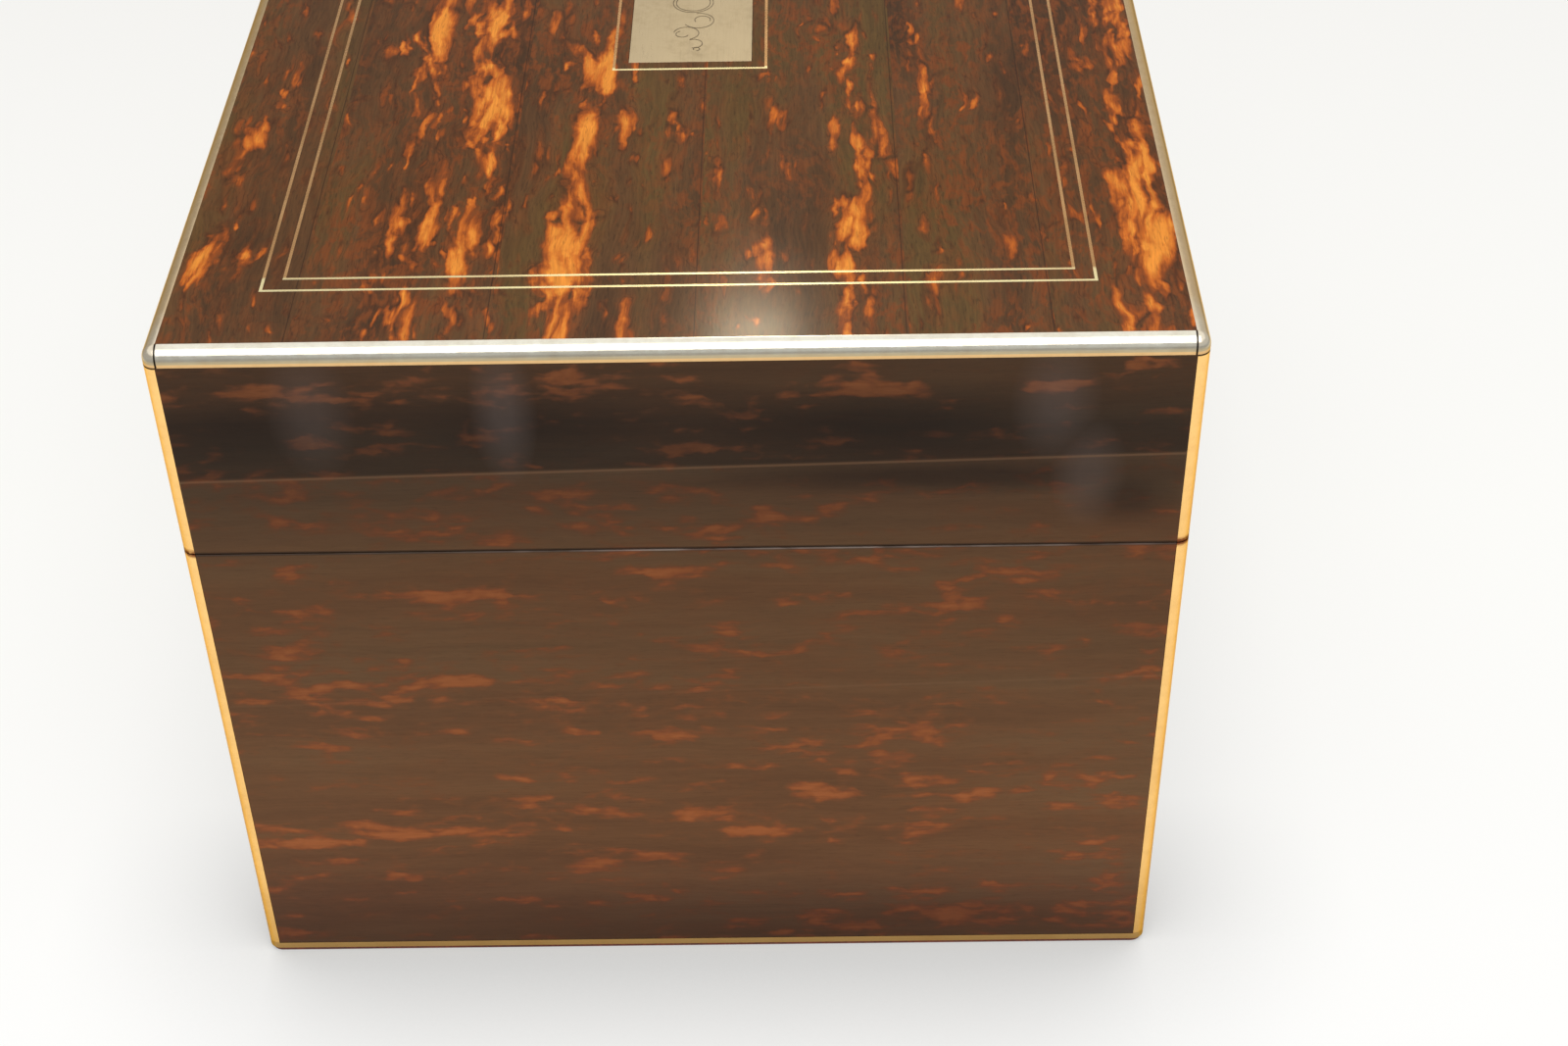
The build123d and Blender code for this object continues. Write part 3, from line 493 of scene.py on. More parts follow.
def polishAndPaintedShade(look, plan, fields, colour):
    # painted shade, darker towards the foot and towards the lid, and a darker leaf tops the end
    along, across, cloud = fields["along"], fields["across"], fields["cloud"]
    height, parting = boxSize["height"], boxSize["parting"]
    drift = look.times(look.minus(cloud, 0.5), 14.0)
    high = look.span(look.plus(across, drift), 0.0, height)
    shade = look.ramp(high, [(level / height, tint) for level, tint in plan["shade"]])
    colour = look.mix(1.0, colour, shade, "MULTIPLY")
    above = look.minus(across, look.times(along, plan["leafSlope"]))
    edge = plan["leafHeight"]
    leafShade = look.span(fields["figure"], 0.42, 0.58, *plan["leafShade"])
    colour = look.darken(colour, look.mix(look.span(above, edge - 0.5, edge + 0.3), grey(1.0),
                                          look.join(leafShade, leafShade, leafShade)))
    # painted shade and painted dark reflections in soft patches
    colour = look.darken(colour, look.minus(1.0, spots(look, fields["loose"],
                                                       plan["paintedShadeAndReflections"])))
    seen = look.maths("GREATER_THAN", fields["through"], 0.0)
    bloom = look.times(spots(look, fields["flat"], plan["bloomed"]), seen)
    colour = look.mix(bloom, colour, tone(112, 100, 96))
    for level, slope, strength in plan["hairlines"]:
        line = look.far(look.minus(across, look.times(along, slope)), level - 0.6)
        line = look.times(look.span(line, 0.15, 0.45, strength, 0.0),
                          look.span(cloud, 0.4, 0.55, 0.4, 1.0))
        colour = look.mix(line, colour, tone(136, 100, 72))
    # painted shade along the parting, and a painted highlight on the arris of the case
    colour = look.darken(colour, look.span(look.far(across, parting), 0.4, 0.75, 0.4, 1.0))
    # painted highlight along the arris, broken up by noise and fading away from 25 mm along it
    uneven = look.noise(look.join(0.0, along, 0.0), 22.0, 3.0, 0.6)
    arrisHighlight = look.times(look.span(uneven, 0.35, 0.62, 0.0, 0.32),
                     look.span(look.far(across, parting - 0.3), 0.1, 0.3, 1.0, 0.0))
    arrisHighlight = look.times(arrisHighlight, look.span(look.far(along, 25.0), 30.0, 100.0, 1.0, 0.1))
    return look.mix(arrisHighlight, colour, tone(190, 172, 160))


def coromandelFinish(name, face):
    plan = figures[face]
    look = Finish(name, Roughness=0.12, IOR=1.45, Specular_IOR_Level=0.12)
    fields = grainFields(look, plan)
    addFigure(look, plan, fields)
    colour = addLight(look, plan, fields, groundColour(look, plan, fields))
    # fine fibres and pores
    fibre = layerNoise(look, fields["bent"], "fibre")
    pore = layerNoise(look, fields["grain"], "pore")
    colour = look.darken(colour, look.times(look.span(fibre, 0.3, 0.7, *plan["fibre"]),
                                            look.span(pore, 0.6, 0.72, 1.0, plan["pore"])))
    if plan.get("leaves"):
        # the joints between the leaves, a hair wide
        seams = [look.span(look.far(fields["across"], edge), 0.06, 0.18, 0.7, 0.0)
                 for edge in leafEdges]
        colour = look.mix(look.most(*seams), colour, plan["palette"]["outline"])
    if "shade" in plan:
        colour = polishAndPaintedShade(look, plan, fields, colour)
    place = look.millimetres()
    rough = look.span(look.noise(place, 60.0, 3.0, 0.6), 0.3, 0.7, 0.09, 0.17)
    height = look.plus(look.times(fibre, 0.12), look.noise(place, 30.0, 2.0, 0.5))
    return look.use(colour, rough, look.bump(height, 0.00006, 0.35))


topWood = coromandelFinish("coromandelTop", "top")
longWood = coromandelFinish("coromandelLong", "long")
endWood = coromandelFinish("coromandelEnd", "end")
dress(topWood, "lid_top_veneer")
dress(longWood, "lid_front_veneer", "lid_back_veneer", "front_veneer", "back_veneer",
      "drawer_veneer")
dress(endWood, "lid_left_veneer", "lid_right_veneer", "left_veneer", "right_veneer")
print("coromandel veneers done")


def plainWoodFinish(name, dark, light, roughness, along, mitred=False):
    look = Finish(name, Roughness=roughness, IOR=1.45, Specular_IOR_Level=0.3)
    place = look.millimetres()
    if mitred:
        # the grain turns where long and short strips of a frame meet
        x, y, z = look.split(place)
        mitre = boxSize["halfLength"] - boxSize["halfDepth"]
        onEnd = look.maths("GREATER_THAN", look.minus(look.far(x), look.far(y)), mitre)
        place = look.mix(onEnd, place, look.join(y, x, z))
    bent = look.shift(place, look.shift(look.noise(place, 60.0, 2.0, 0.5, colour=True),
                                        (7.0, 7.0, 7.0), "MULTIPLY"))
    figureScale, fibreScale = ([1 / longer if axis == along else 1.0 for axis in range(3)]
                               for longer in (14, 30))
    figure = look.noise(look.stretch(bent, figureScale), 9.0, 4.0, 0.6)
    fibre = look.noise(look.stretch(place, fibreScale), 0.5, 3.0, 0.6)
    colour = look.ramp(figure, [(0.32, dark), (0.68, light)])
    colour = look.darken(colour, look.span(fibre, 0.3, 0.7, 0.78, 1.12))
    rough = look.span(fibre, 0.3, 0.7, roughness - 0.04, roughness + 0.08)
    return look.use(colour, rough, look.bump(fibre, 0.00008, 0.4))


mahogany = (tone(92, 40, 22), tone(150, 78, 44))
mahoganyLong = plainWoodFinish("mahoganyAlongX", *mahogany, 0.32, 0)
mahoganyDeep = plainWoodFinish("mahoganyAlongY", *mahogany, 0.32, 1)
mahoganyFrame = plainWoodFinish("mahoganyFrame", *mahogany, 0.3, 0, True)
rimWood = plainWoodFinish("rimWood", tone(48, 28, 18), tone(80, 50, 32), 0.25, 0, True)
dress(mahoganyLong, "lid_top_board", "lid_front_board", "lid_back_board", "bottom_board",
      "back_board", "front_board", "dust_board", "drawer_front", "drawer_bottom")
dress(mahoganyDeep, "lid_end_boards", "end_boards", "drawer_walls")
dress(mahoganyFrame, "liner_boards", "mirror_rails")
dress(rimWood, "lid_rim_lipping", "rim_lipping")


# noise on metal: size in mm, detail, roughness
metalNoise = {"patch": (16.0, 4.0, 0.6), "specks": (2.2, 3.0, 0.6), "lines": (0.35, 3.0, 0.6)}


def metalFinish(name, colour, tarnish, roughness, brush=(1.0, 1.0, 1.0)):
    look = Finish(name, Roughness=roughness, Metallic=1.0)
    place = look.millimetres()
    patch = look.noise(place, *metalNoise["patch"])
    specks = look.noise(place, *metalNoise["specks"])
    mask = look.times(look.span(patch, 0.42, 0.66), look.span(specks, 0.35, 0.7))
    tinted = look.mix(look.times(mask, 0.55), colour, tarnish)
    lines = look.noise(look.stretch(place, brush), *metalNoise["lines"])
    rough = look.plus(look.span(lines, 0.3, 0.7, roughness * 0.75, roughness * 1.3),
                      look.times(mask, 0.12))
    return look.use(tinted, rough, look.bump(lines, 0.00002, 0.25))


def patchy(look, patch, low, high, amount, first, second):
    # one tone with patches of a second
    return look.mix(look.span(patch, low, high, 0.0, amount), tone(*first), tone(*second))


def stringingFinish(name):
    # the lines across the lid are paler than the ones along it, a painted reflection
    look = Finish(name, Roughness=0.28, Metallic=1.0)
    place = look.millimetres()
    x, y = look.split(place)[:2]
    farX, farY = look.far(x), look.far(y)
    atPlate = look.times(look.span(farX, 33.4, 33.8), look.span(farY, 30.0, 60.0, 1.0, 0.0))
    across = look.most(atPlate, look.span(farX, 124.4, 125.4))
    patch = look.noise(place, *metalNoise["patch"])
    golden = patchy(look, patch, 0.42, 0.66, 0.5, (208, 162, 110), (166, 120, 70))
    pale = patchy(look, patch, 0.42, 0.66, 0.5, (255, 242, 186), (236, 204, 150))
    lines = look.noise(place, *metalNoise["lines"])
    return look.use(look.mix(across, golden, pale), look.span(lines, 0.3, 0.7, 0.2, 0.34),
                    look.bump(lines, 0.00002, 0.25))


lineBrass = stringingFinish("stringingBrass")
plateMetal = metalFinish("plateSilver", tone(192, 174, 142), tone(168, 148, 114), 0.34,
                         (1 / 30, 1.0, 1.0))
fittingBrass = metalFinish("fittingBrass", tone(226, 184, 104), tone(150, 112, 54), 0.22)
greySteel = metalFinish("steel", tone(170, 170, 172), tone(120, 116, 110), 0.28)
dress(lineBrass, "outer_stringing", "inner_stringing", "plate_stringing")
dress(plateMetal, "initial_plate")
dress(fittingBrass, "lid_hinge_leaves", "case_hinge_leaves", "hinge_pins", "lid_screws",
      "case_screws", "lock_case", "lock_nozzle", "lock_links", "lock_bolt", "mirror_button",
      "release_button", "button_bush", "drawer_strike")
dress(greySteel, "lock_barrel", "catch_spring", "drawer_spring")
print("metals done")


def velvetFinish(name, dark, light):
    look = Finish(name, Roughness=0.9, Sheen_Weight=0.6, Sheen_Roughness=0.4,
                  Sheen_Tint=light, Specular_IOR_Level=0.1)
    place = look.millimetres()
    nap = look.noise(place, 14.0, 4.0, 0.6, 0.6)
    pile = look.noise(place, 0.35, 2.0, 0.6)
    colour = look.ramp(nap, [(0.34, dark), (0.66, light)])
    colour = look.darken(colour, look.span(pile, 0.3, 0.7, 0.72, 1.15))
    return look.use(colour, None, look.bump(pile, 0.00025, 0.6))


def leatherFinish(name, dark, light, roughness):
    look = Finish(name, Roughness=roughness, Specular_IOR_Level=0.35)
    place = look.millimetres()
    crease = look.span(look.cells(place, 1.3), 0.0, 0.12)
    patch = look.noise(place, 18.0, 4.0, 0.6)
    colour = look.ramp(patch, [(0.35, dark), (0.65, light)])
    colour = look.mix(crease, look.mix(0.5, colour, grey(0.01)), colour)
    return look.use(colour, look.span(patch, 0.3, 0.7, roughness - 0.08, roughness + 0.1),
                    look.bump(crease, 0.0001, 0.6))


def mirrorFinish(name):
    look = Finish(name, Roughness=0.02, Metallic=1.0)
    haze = look.noise(look.place, 0.04, 4.0, 0.6)
    colour = look.ramp(haze, [(0.3, tone(214, 218, 220)), (0.7, tone(228, 231, 232))])
    return look.use(colour, look.span(haze, 0.3, 0.7, 0.008, 0.022))


velvet = velvetFinish("blueVelvet", tone(34, 29, 82), tone(58, 51, 116))
lidLeather = leatherFinish("lidLeather", tone(52, 42, 96), tone(80, 66, 130), 0.45)
footLeather = leatherFinish("footLeather", tone(92, 44, 30), tone(120, 62, 42), 0.7)
dress(velvet, "tray_bottom", "tray_walls", "tray_dividers", "drawer_lining")
dress(lidLeather, "mirror_board")
dress(footLeather, "underside_leather")
dress(mirrorFinish("mirrorGlass"), "mirror_glass")
print("velvet, leather and mirror done")


edging = {
    "width": 3.2,
    "height": 4.3,
    "round": 3.0,
    "cornerRound": 2.94,
    "segments": 12,
    "seam": 0.12,          # eased arris beside each joint
    "gap": 0.16,           # dark joint where two strips meet
    "toe": 0.45,           # rounding of the lid's corner strips above the parting
    "corner": 3.0,
    "lidFoot": 136.7,
    "caseTop": 136.3,
    "caseFoot": 3.1,
}
near = 1e-6     # metres within which a point counts as on a plane
endX, sideY, topZ = (boxSize[key] * mm for key in ("halfLength", "halfDepth", "height"))


def atPlane(axis, value):
    return lambda a, b: abs(a[axis] - value) < near and abs(b[axis] - value) < near


def both(first, second):
    return lambda a, b: first(a, b) and second(a, b)


def longTopEdging(side):
    inner = sideY - edging["width"] * mm
    bm = bmesh.new()
    low = (-endX, min(side * sideY, side * inner), topZ - edging["height"] * mm)
    high = (endX, max(side * sideY, side * inner), topZ)
    verts = addBlock(bm, low, high)
    isTop, isOuter = atPlane(2, topZ), atPlane(1, side * sideY)
    chosen = edgesOf(verts, both(isTop, isOuter))
    for end in (-1, 1):
        isEnd = atPlane(0, end * endX)
        chosen += edgesOf(verts, both(isTop, isEnd)) + edgesOf(verts, both(isOuter, isEnd))
    roundEdges(bm, chosen, edging["round"] * mm, edging["segments"])
    return bm


def endTopEdging(side):
    inner = endX - edging["width"] * mm
    reach = sideY - (edging["width"] + edging["gap"]) * mm
    bm = bmesh.new()
    low = (min(side * endX, side * inner), -reach, topZ - edging["height"] * mm)
    high = (max(side * endX, side * inner), reach, topZ)
    verts = addBlock(bm, low, high)
    roundEdges(bm, edgesOf(verts, both(atPlane(2, topZ), atPlane(0, side * endX))),
               edging["round"] * mm, edging["segments"])
    ends = [edge for edge in bm.edges
            if all(abs(abs(vert.co.y) - reach) < near for vert in edge.verts)]
    roundEdges(bm, ends, edging["seam"] * mm, 1)
    return bm


def cornerEdging(low, high, toe):
    width = edging["corner"] * mm
    bm = bmesh.new()
    for sx in (-1, 1):
        for sy in (-1, 1):
            xs = sorted((sx * endX, sx * (endX - width)))
            ys = sorted((sy * sideY, sy * (sideY - width)))
            verts = addBlock(bm, (xs[0], ys[0], low * mm), (xs[1], ys[1], high * mm))
            outer = edgesOf(verts, both(atPlane(0, sx * endX), atPlane(1, sy * sideY)))
            roundEdges(bm, outer, edging["cornerRound"] * mm, edging["segments"])
    for level, width, segments in ((low, toe, 3), (high, edging["seam"], 1)):
        ends = [edge for edge in bm.edges
                if all(abs(vert.co.z - level * mm) < near for vert in edge.verts)]
        roundEdges(bm, ends, width * mm, segments)
    return bm


def nearPlane(look, value, plane, width):
    # 1 on a plane, 0 past width from it
    return look.span(look.far(value, plane), width * 0.4, width, 1.0, 0.0)


# where one tone of the edging gives way to the next, as ranges in mm
brassZones = {
    "olive": (189.3, 189.7),     # upwards from here a painted darker reflection, golden below
    # upwards from here a painted highlight
    "pale": (190.1, 191.1),
    "lip": (188.68, 188.72),     # the lower arris of the top strips
    "long": (190.6, 191.6),      # on top of the long strips, a duller painted highlight, warmer towards the ends
    "longWarm": (136.0, 146.0),
    "longInner": (111.2, 111.3),
    "end": (149.2, 149.4),
    "corner": (111.2, 111.4),
    "joint": (186.0, 187.0),
}


def edgingFinish(name):
    # pale on the rounding of the lid as a painted highlight, an olive band below it as a painted
    # darker reflection, golden below that, dark in the joints
    look = Finish(name, Roughness=0.2, Metallic=1.0, Specular_Tint=tone(250, 214, 150))
    zones = brassZones
    place = look.millimetres()
    x, y, z = look.split(place)
    patch = look.noise(place, *metalNoise["patch"])
    specks = look.span(look.noise(place, *metalNoise["specks"]), 0.4, 0.7)
    pale = patchy(look, patch, 0.45, 0.7, 0.3, (240, 236, 220), (196, 182, 150))
    olive = patchy(look, patch, 0.4, 0.7, 0.4, (186, 172, 140), (160, 140, 104))
    gold = patchy(look, patch, 0.45, 0.75, 0.4, (255, 207, 131), (232, 176, 104))
    # painted shade: the golden brass darkens towards the floor
    low = look.ramp(look.span(z, 0.0, 40.0), [(0.0, grey(0.34)), (0.075, grey(0.42)),
                                              (0.09, grey(0.66)), (0.35, grey(0.80)),
                                              (0.75, grey(1.0))])
    gold = look.mix(1.0, gold, low, "MULTIPLY")
    colour = look.mix(look.span(z, *zones["olive"]), gold, olive)
    colour = look.mix(look.span(z, *zones["pale"]), colour, pale)
    farX, farY = look.far(x), look.far(y)
    # painted reflection: the top of the long strips is less pale than the end strips
    onLong = look.times(look.span(farY, *zones["longInner"]),
                        look.span(farX, *zones["longWarm"], 1.0, 0.35))
    onLong = look.times(onLong, look.span(z, *zones["long"]))
    colour = look.mix(onLong, colour, tone(224, 200, 164))
    lip = look.times(look.span(z, *zones["lip"]), look.span(z, *zones["olive"], 1.0, 0.0))
    colour = look.mix(lip, colour, tone(222, 182, 128))
    colour = look.mix(look.times(specks, 0.12), colour, tone(176, 132, 80))
    onEnd = look.span(farX, *zones["end"])
    onCorner = look.times(onEnd, look.span(farY, *zones["corner"]))
    butt = look.times(nearPlane(look, farY, 111.2, 0.3), onEnd)
    under = look.times(nearPlane(look, z, 188.64, 0.3), onCorner)
    toe = look.times(nearPlane(look, z, edging["lidFoot"], 1.5),
                     look.span(look.noise(place, 1.6, 3.0, 0.6), 0.3, 0.55, 0.35, 1.0))
    colour = look.mix(toe, colour, tone(132, 74, 46))
    joint = look.times(look.most(butt, under), look.span(z, *zones["joint"]))
    colour = look.mix(joint, colour, tone(52, 36, 24))
    lines = look.noise(look.stretch(place, (0.1, 0.1, 1.0)), *metalNoise["lines"])
    uneven = look.plus(look.span(lines, 0.3, 0.7, 0.15, 0.27),
                     look.times(look.most(toe, joint), 0.3))
    return look.use(colour, uneven, look.bump(lines, 0.00002, 0.25))


edgingBrass = edgingFinish("edgingBrass")
for build, labels in ((longTopEdging, ("front", "back")), (endTopEdging, ("left", "right"))):
    for side, label in zip((-1, 1), labels):
        finishPiece(f"edging_top_{label}", build(side), "lid", edgingBrass,
                    (f"lid_{label}_edging",))
cornerTop = boxSize["height"] - edging["height"] - edging["gap"]
finishPiece("edging_corners_lid", cornerEdging(edging["lidFoot"], cornerTop, edging["toe"]),
            "lid", edgingBrass, ("lid_corner_edgings",))
finishPiece("edging_corners_case",
            cornerEdging(edging["caseFoot"], edging["caseTop"], edging["seam"]),
            "case", edgingBrass, ("corner_edgings",))
dress(edgingBrass, "bottom_edgings")
print("edging done")


# eased arrises on the woodwork, the tray and the fittings
easing = {
    "liner_boards": ("case", "mahogany", mahoganyFrame, 0.6, 3),
    "tray_walls": ("case", "velvet", velvet, 0.5, 3),
    "tray_dividers": ("case", "velvet", velvet, 0.9, 4),
    "drawer_front": ("drawer", "mahogany", mahoganyLong, 0.4, 2),
    "drawer_walls": ("drawer", "mahogany", mahoganyDeep, 0.6, 3),
    "mirror_rails": ("lid", "mahogany", mahoganyFrame, 0.5, 2),
    "mirror_board": ("lid", "lid_leather", lidLeather, 0.5, 3),
    "mirror_button": ("mirror_catch", "fitting_brass", fittingBrass, 0.35, 3),
    "release_button": ("drawer_release", "fitting_brass", fittingBrass, 0.5, 4),
    "front_veneer": ("case", "coromandel", longWood, 0.15, 1),
    "back_veneer": ("case", "coromandel", longWood, 0.15, 1),
    "left_veneer": ("case", "coromandel", endWood, 0.15, 1),
    "right_veneer": ("case", "coromandel", endWood, 0.15, 1),
    "drawer_veneer": ("drawer", "coromandel", longWood, 0.2, 1),
}
for node, (body, slot, material, width, segments) in easing.items():
    softened(node, body, material, width, segments)
print("woodwork and tray done")


plate = {
    "halfLength": 31.0, "halfWidth": 15.5, "low": 192.3, "high": 192.94,
    "chamfer": 0.15,
    "lineWidth": 0.25, "lineTop": 192.98,
    # arcs of the plain scroll: middle along and across, radius, start and sweep in degrees
    "arcs": ((0.0, 0.0, 5.2, 0, 360), (0.0, 0.0, 4.4, 0, 360),
             (9.6, 1.6, 3.9, 190, -250), (9.2, 2.6, 2.0, -60, -230),
             (16.2, -1.4, 3.2, 20, 240), (16.6, -2.4, 1.6, 200, 230),
             (21.6, 0.6, 2.2, 210, -220), (24.4, 1.4, 0.8, 0, 300)),
}


def arcLine(bm, middle, radius, start, sweep, width, low, high):
    # a small upright rectangle swept round a point: one cut of the scroll
    made = bmesh.ops.create_grid(bm, x_segments=1, y_segments=1, size=0.5)["verts"]
    bmesh.ops.scale(bm, vec=(width * mm, (high - low) * mm, 1.0), verts=made)
    bmesh.ops.rotate(bm, cent=(0, 0, 0), matrix=Matrix.Rotation(math.pi / 2, 3, "X"), verts=made)
    bmesh.ops.translate(bm, vec=(radius * mm, 0, (high + low) / 2 * mm), verts=made)
    bmesh.ops.rotate(bm, cent=(0, 0, 0), matrix=Matrix.Rotation(math.radians(start), 3, "Z"),
                     verts=made)
    centre = Vector((middle[0] * mm, middle[1] * mm, 0))
    bmesh.ops.translate(bm, vec=centre, verts=made)
    face = made[0].link_faces[0]
    whole = abs(sweep) == 360
    geometry = [face] + list(face.edges) + list(face.verts)
    if whole:
        geometry = list(face.edges) + list(face.verts)
        bmesh.ops.delete(bm, geom=[face], context="FACES_ONLY")
    bmesh.ops.spin(bm, geom=geometry, cent=centre, axis=(0, 0, 1),
                   angle=math.radians(sweep), steps=max(12, int(abs(sweep) / 9)),
                   use_merge=whole)


def initialPlate():
    bm = bmesh.new()
    low = (-plate["halfLength"] * mm, -plate["halfWidth"] * mm, plate["low"] * mm)
    high = (plate["halfLength"] * mm, plate["halfWidth"] * mm, plate["high"] * mm)
    verts = addBlock(bm, low, high)
    roundEdges(bm, edgesOf(verts, atPlane(2, high[2])), plate["chamfer"] * mm, 1)
    finishPiece("plate_face", bm, "lid", plateMetal, ("initial_plate",))
    bm = bmesh.new()
    for x, y, radius, start, sweep in plate["arcs"]:
        turns = ((1, 0),) if abs(sweep) == 360 else ((1, 0), (-1, 180))
        for side, turn in turns:
            arcLine(bm, (side * x, side * y), radius, start + turn, sweep,
                    plate["lineWidth"], plate["low"], plate["lineTop"])
    bmesh.ops.recalc_face_normals(bm, faces=bm.faces)
    finishPiece("plate_scroll", bm, "lid", engraved)


engraved = metalFinish("engravedLine", tone(132, 118, 96), tone(90, 76, 58), 0.4)
initialPlate()
print("plate done")


drawerPadPlan = {
    "node": "drawer_lining", "channels": 11, "rows": 5, "groove": 0.9, "roll": 3.0,
    "pull": 0.8, "foot": 0.6, "columns": 176, "lines": 120,
}


def drawerPad():
    # the drawer's pad: crowned panels between sewn channels, drawn in along its sides
    plan = drawerPadPlan
    low, high = (Vector(corner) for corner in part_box(plan["node"]))
    size, middle = high - low, (high + low) / 2
    bm = bmesh.new()
    made = bmesh.ops.create_grid(bm, x_segments=plan["columns"], y_segments=plan["lines"],
                                 size=0.5)["verts"]
    bmesh.ops.scale(bm, vec=(size.x, size.y, 1.0), verts=made)
    bmesh.ops.translate(bm, vec=(middle.x, middle.y, low.z), verts=made)
    raised = bmesh.ops.extrude_face_region(bm, geom=bm.faces[:])["geom"]
    top = [item for item in raised if isinstance(item, bmesh.types.BMVert)]
    foot = plan["foot"] * mm
    for vert in top:
        u = (vert.co.x - low.x) / size.x
        v = (vert.co.y - low.y) / size.y
        side = min(vert.co.x - low.x, high.x - vert.co.x, vert.co.y - low.y,
                   high.y - vert.co.y)
        edge = 1 - max(0.0, 1 - side / (plan["roll"] * mm))
        crown = math.sqrt(max(0.0, 1 - (1 - edge) ** 2))
        panel = min(abs(math.sin(math.pi * u * plan["channels"])),
                    abs(math.sin(math.pi * v * plan["rows"])))
        sewn = plan["groove"] * mm * math.exp(-(panel / 0.3) ** 2)
        vert.co.z = low.z + foot + (size.z - foot) * crown - sewn * crown
    for vert in bm.verts:
        u = 2 * (vert.co.x - middle.x) / size.x
        v = 2 * (vert.co.y - middle.y) / size.y
        vert.co.x -= plan["pull"] * mm * u * (1 - v * v)
        vert.co.y -= plan["pull"] * mm * v * (1 - u * u)
    bmesh.ops.recalc_face_normals(bm, faces=bm.faces)
    piece = finishPiece("drawer_pad", bm, "drawer", velvet, (plan["node"],), 80)


drawerPad()
print("drawer pad done")


studio = {
    "floorHalf": 6.0,
    "worldLight": 0.78,
    "roomLevel": 0.45,     # how dim the room round the paper is, at its left
    "roomRight": 0.6,
    "roomTop": 0.558,      # sine of the elevation where the white overhead begins
    "roomBlur": 0.012,
    "paperEdge": (0.5, 0.7),
    "lift": 0.72,          # how much of the floor the camera sees as plain light
    "shadeReach": 0.06,    # soft shadow round the foot, weaker beside the box
    "shadeLevel": 0.45,
    "sideLevel": 0.12,
    # the backdrop from behind the box to its right end: place, red, green, blue
    "backdrop": ((0.0, (0.80, 0.785, 0.755)), (0.35, (0.86, 0.845, 0.815)),
                 (0.70, (0.99, 0.99, 0.955)), (0.9, (1.0, 1.0, 0.99))),
}
lamps = {
    "keyLamp": {"place": (0.85, 0.10, 1.40), "target": (0, 0, 0.1), "size": 1.3,
                "power": 11.0, "colour": (1.0, 1.0, 1.0)},
    # its reflection is the glare on the middle of the top's edging
    "glareLamp": {"place": (-1.075, -0.012, 1.090), "target": (0.15, 0.0, 0.193), "size": 0.06,
                  "power": 0.55, "colour": (1.0, 0.89, 0.64)},
}
cameraPlan = {
    "lens": 57.0, "sensor": 36.0, "clip": (0.01, 50.0),
    "place": (0.5822, 0.0272, 0.5006),
    # the camera's own axes
    "right": (0.00161, 0.99989, -0.01503),
    "up": (-0.63897, 0.01259, 0.76913),
    "back": (0.76923, 0.00836, 0.63892),
}


def buildFloor():
    bm = bmesh.new()
    bmesh.ops.create_grid(bm, x_segments=1, y_segments=1, size=studio["floorHalf"])
    mesh = bpy.data.meshes.new("floor")
    bm.to_mesh(mesh)
    bm.free()
    floor = bpy.data.objects.new("floor", mesh)
    bpy.context.scene.collection.objects.link(floor)
    look = Finish("floorPaper", Roughness=0.9, Specular_IOR_Level=0.0)
    wash = look.noise(look.place, 0.5, 1.0, 0.4)
    colour = look.ramp(wash, [(0.3, tone(250, 250, 249)), (0.7, tone(253, 253, 252))])
    # brass sees a darker room beyond the paper
    out = look.add("VectorMath", {0: look.place}, operation="LENGTH").outputs["Value"]
    rays = look.add("LightPath").outputs
    dim = look.times(look.span(out, *studio["paperEdge"]), rays["Is Glossy Ray"])
    look.use(look.mix(dim, colour, grey(studio["roomLevel"])))
    # the camera sees an evenly pale backdrop, with a soft shadow at the foot of the end
    x = look.split(look.place)[0]
    pale = look.ramp(look.span(x, -1.0, 0.4), studio["backdrop"])
    clear = look.add("AmbientOcclusion", {"Distance": studio["shadeReach"]}, samples=12)
    level = look.span(x, 0.10, 0.15, studio["sideLevel"], studio["shadeLevel"])
    shade = look.times(look.span(clear.outputs["AO"], 0.5, 1.0, 1.0, 0.0), level)
    pale = look.darken(pale, look.minus(1.0, shade))
    shown = look.add("Emission", {0: pale, 1: 1.0})
    lift = look.times(rays["Is Camera Ray"], studio["lift"])
    blend = look.add("MixShader", {0: lift, 1: look.shader.outputs[0], 2: shown.outputs[0]})
    look.link(blend.outputs[0], look.output.inputs["Surface"])
    floor.data.materials.append(look.material)


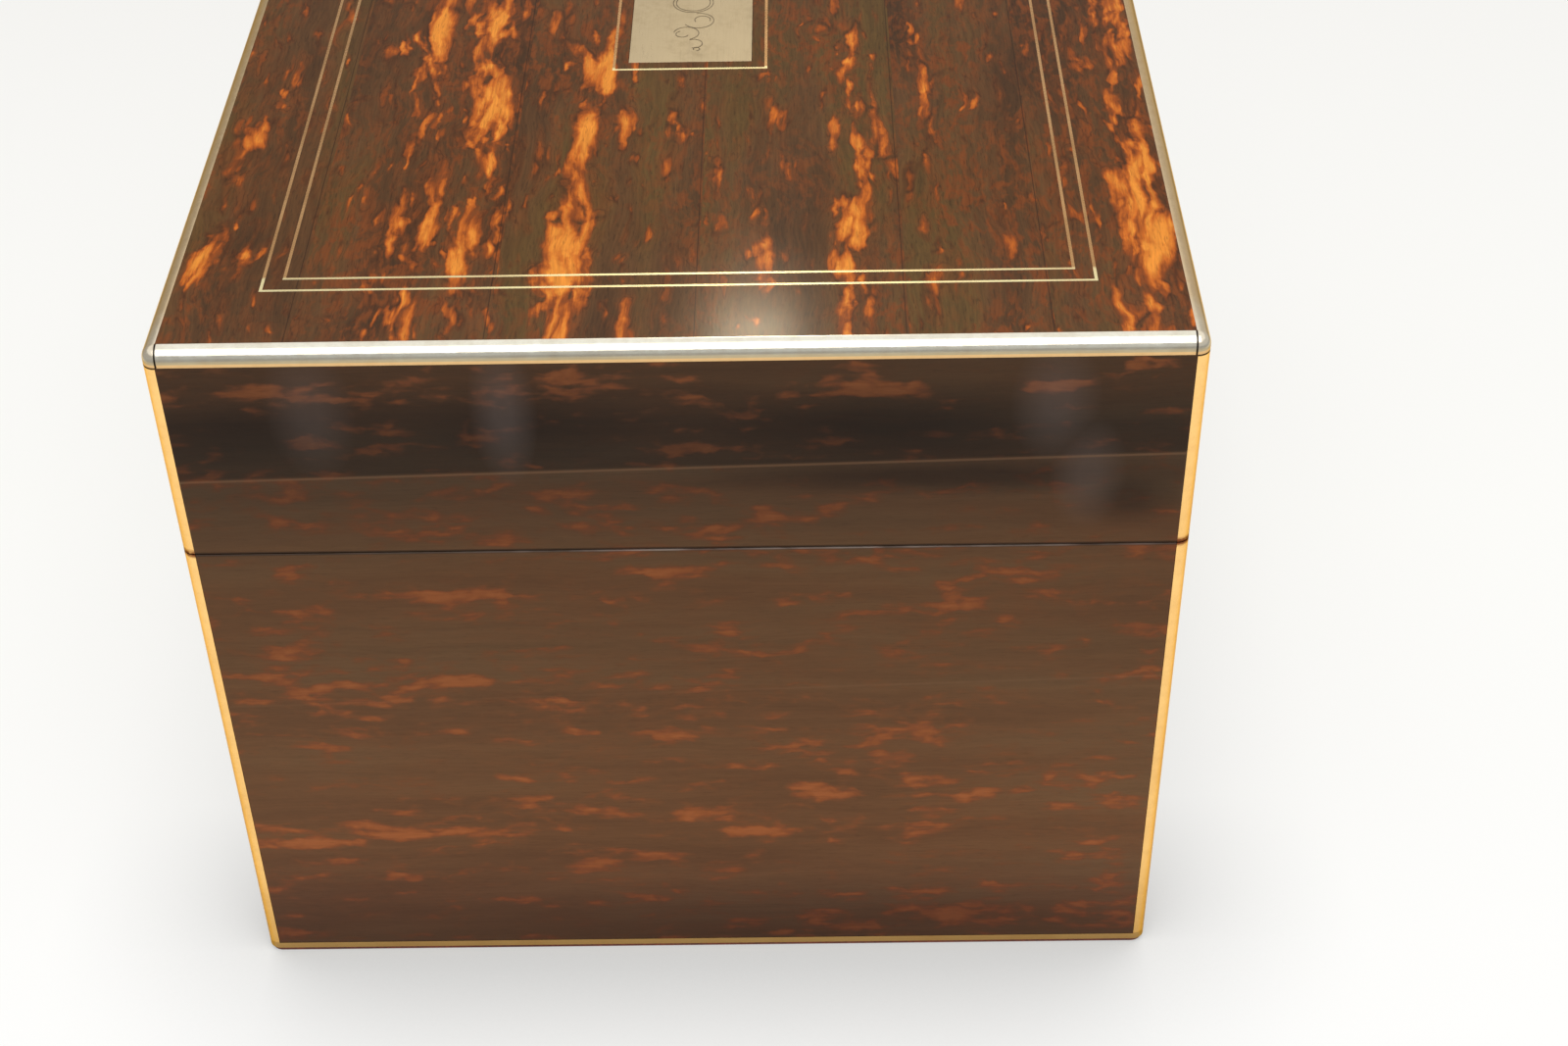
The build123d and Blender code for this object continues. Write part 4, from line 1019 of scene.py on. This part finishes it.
def buildWorld():
    world = bpy.data.worlds.new("studio")
    bpy.context.scene.world = world
    world.use_nodes = True
    world.node_tree.nodes.clear()

    def add(kind, inputs, **settings):
        return addNode(world.node_tree, kind, inputs, settings)

    path = add("LightPath", {}).outputs
    heading = add("TexCoord", {}).outputs["Generated"]
    across, up = add("SeparateXYZ", {0: heading}).outputs[1:]
    # brass sees white overhead and a dim room round the horizon, lighter at the right
    side = add("MapRange", {"Value": across, "From Min": -0.3, "From Max": 0.3,
                            "To Min": studio["roomLevel"], "To Max": studio["roomRight"]})
    room = add("MapRange", {"Value": up, "From Min": studio["roomTop"] - studio["roomBlur"],
                            "From Max": studio["roomTop"] + studio["roomBlur"],
                            "To Min": side.outputs[0], "To Max": 1.0}).outputs[0]
    seen = add("Math", {0: path["Is Camera Ray"], 1: path["Is Transmission Ray"]},
               operation="MAXIMUM").outputs[0]
    level = add("Mix", {0: path["Is Glossy Ray"], 2: studio["worldLight"], 3: room}).outputs[0]
    level = add("Mix", {0: seen, 2: level, 3: 1.0}).outputs[0]
    light = add("Background", {0: grey(1.0), 1: level})
    add("OutputWorld", {0: light.outputs[0]})


def addLamp(name, place, target, size, power, colour):
    lamp = bpy.data.lights.new(name, "AREA")
    lamp.shape = "RECTANGLE"
    lamp.size = lamp.size_y = size
    lamp.energy = power
    lamp.color = colour
    holder = bpy.data.objects.new(name, lamp)
    bpy.context.scene.collection.objects.link(holder)
    holder.location = place
    aim = Vector(target) - Vector(place)
    holder.rotation_euler = aim.to_track_quat("-Z", "Y").to_euler()


def buildCamera(plan):
    camera = bpy.data.cameras.new("camera")
    camera.lens, camera.sensor_width = plan["lens"], plan["sensor"]
    camera.sensor_fit = "HORIZONTAL"
    camera.clip_start, camera.clip_end = plan["clip"]
    holder = bpy.data.objects.new("camera", camera)
    bpy.context.scene.collection.objects.link(holder)
    turn = Matrix([plan[axis] for axis in ("right", "up", "back")]).transposed()
    holder.matrix_world = Matrix.Translation(plan["place"]) @ turn.to_4x4()
    bpy.context.scene.camera = holder


buildFloor()
buildWorld()
for name, plan in lamps.items():
    addLamp(name, **plan)
buildCamera(cameraPlan)
bpy.context.scene.view_settings.view_transform = "Standard"
print("stage done")
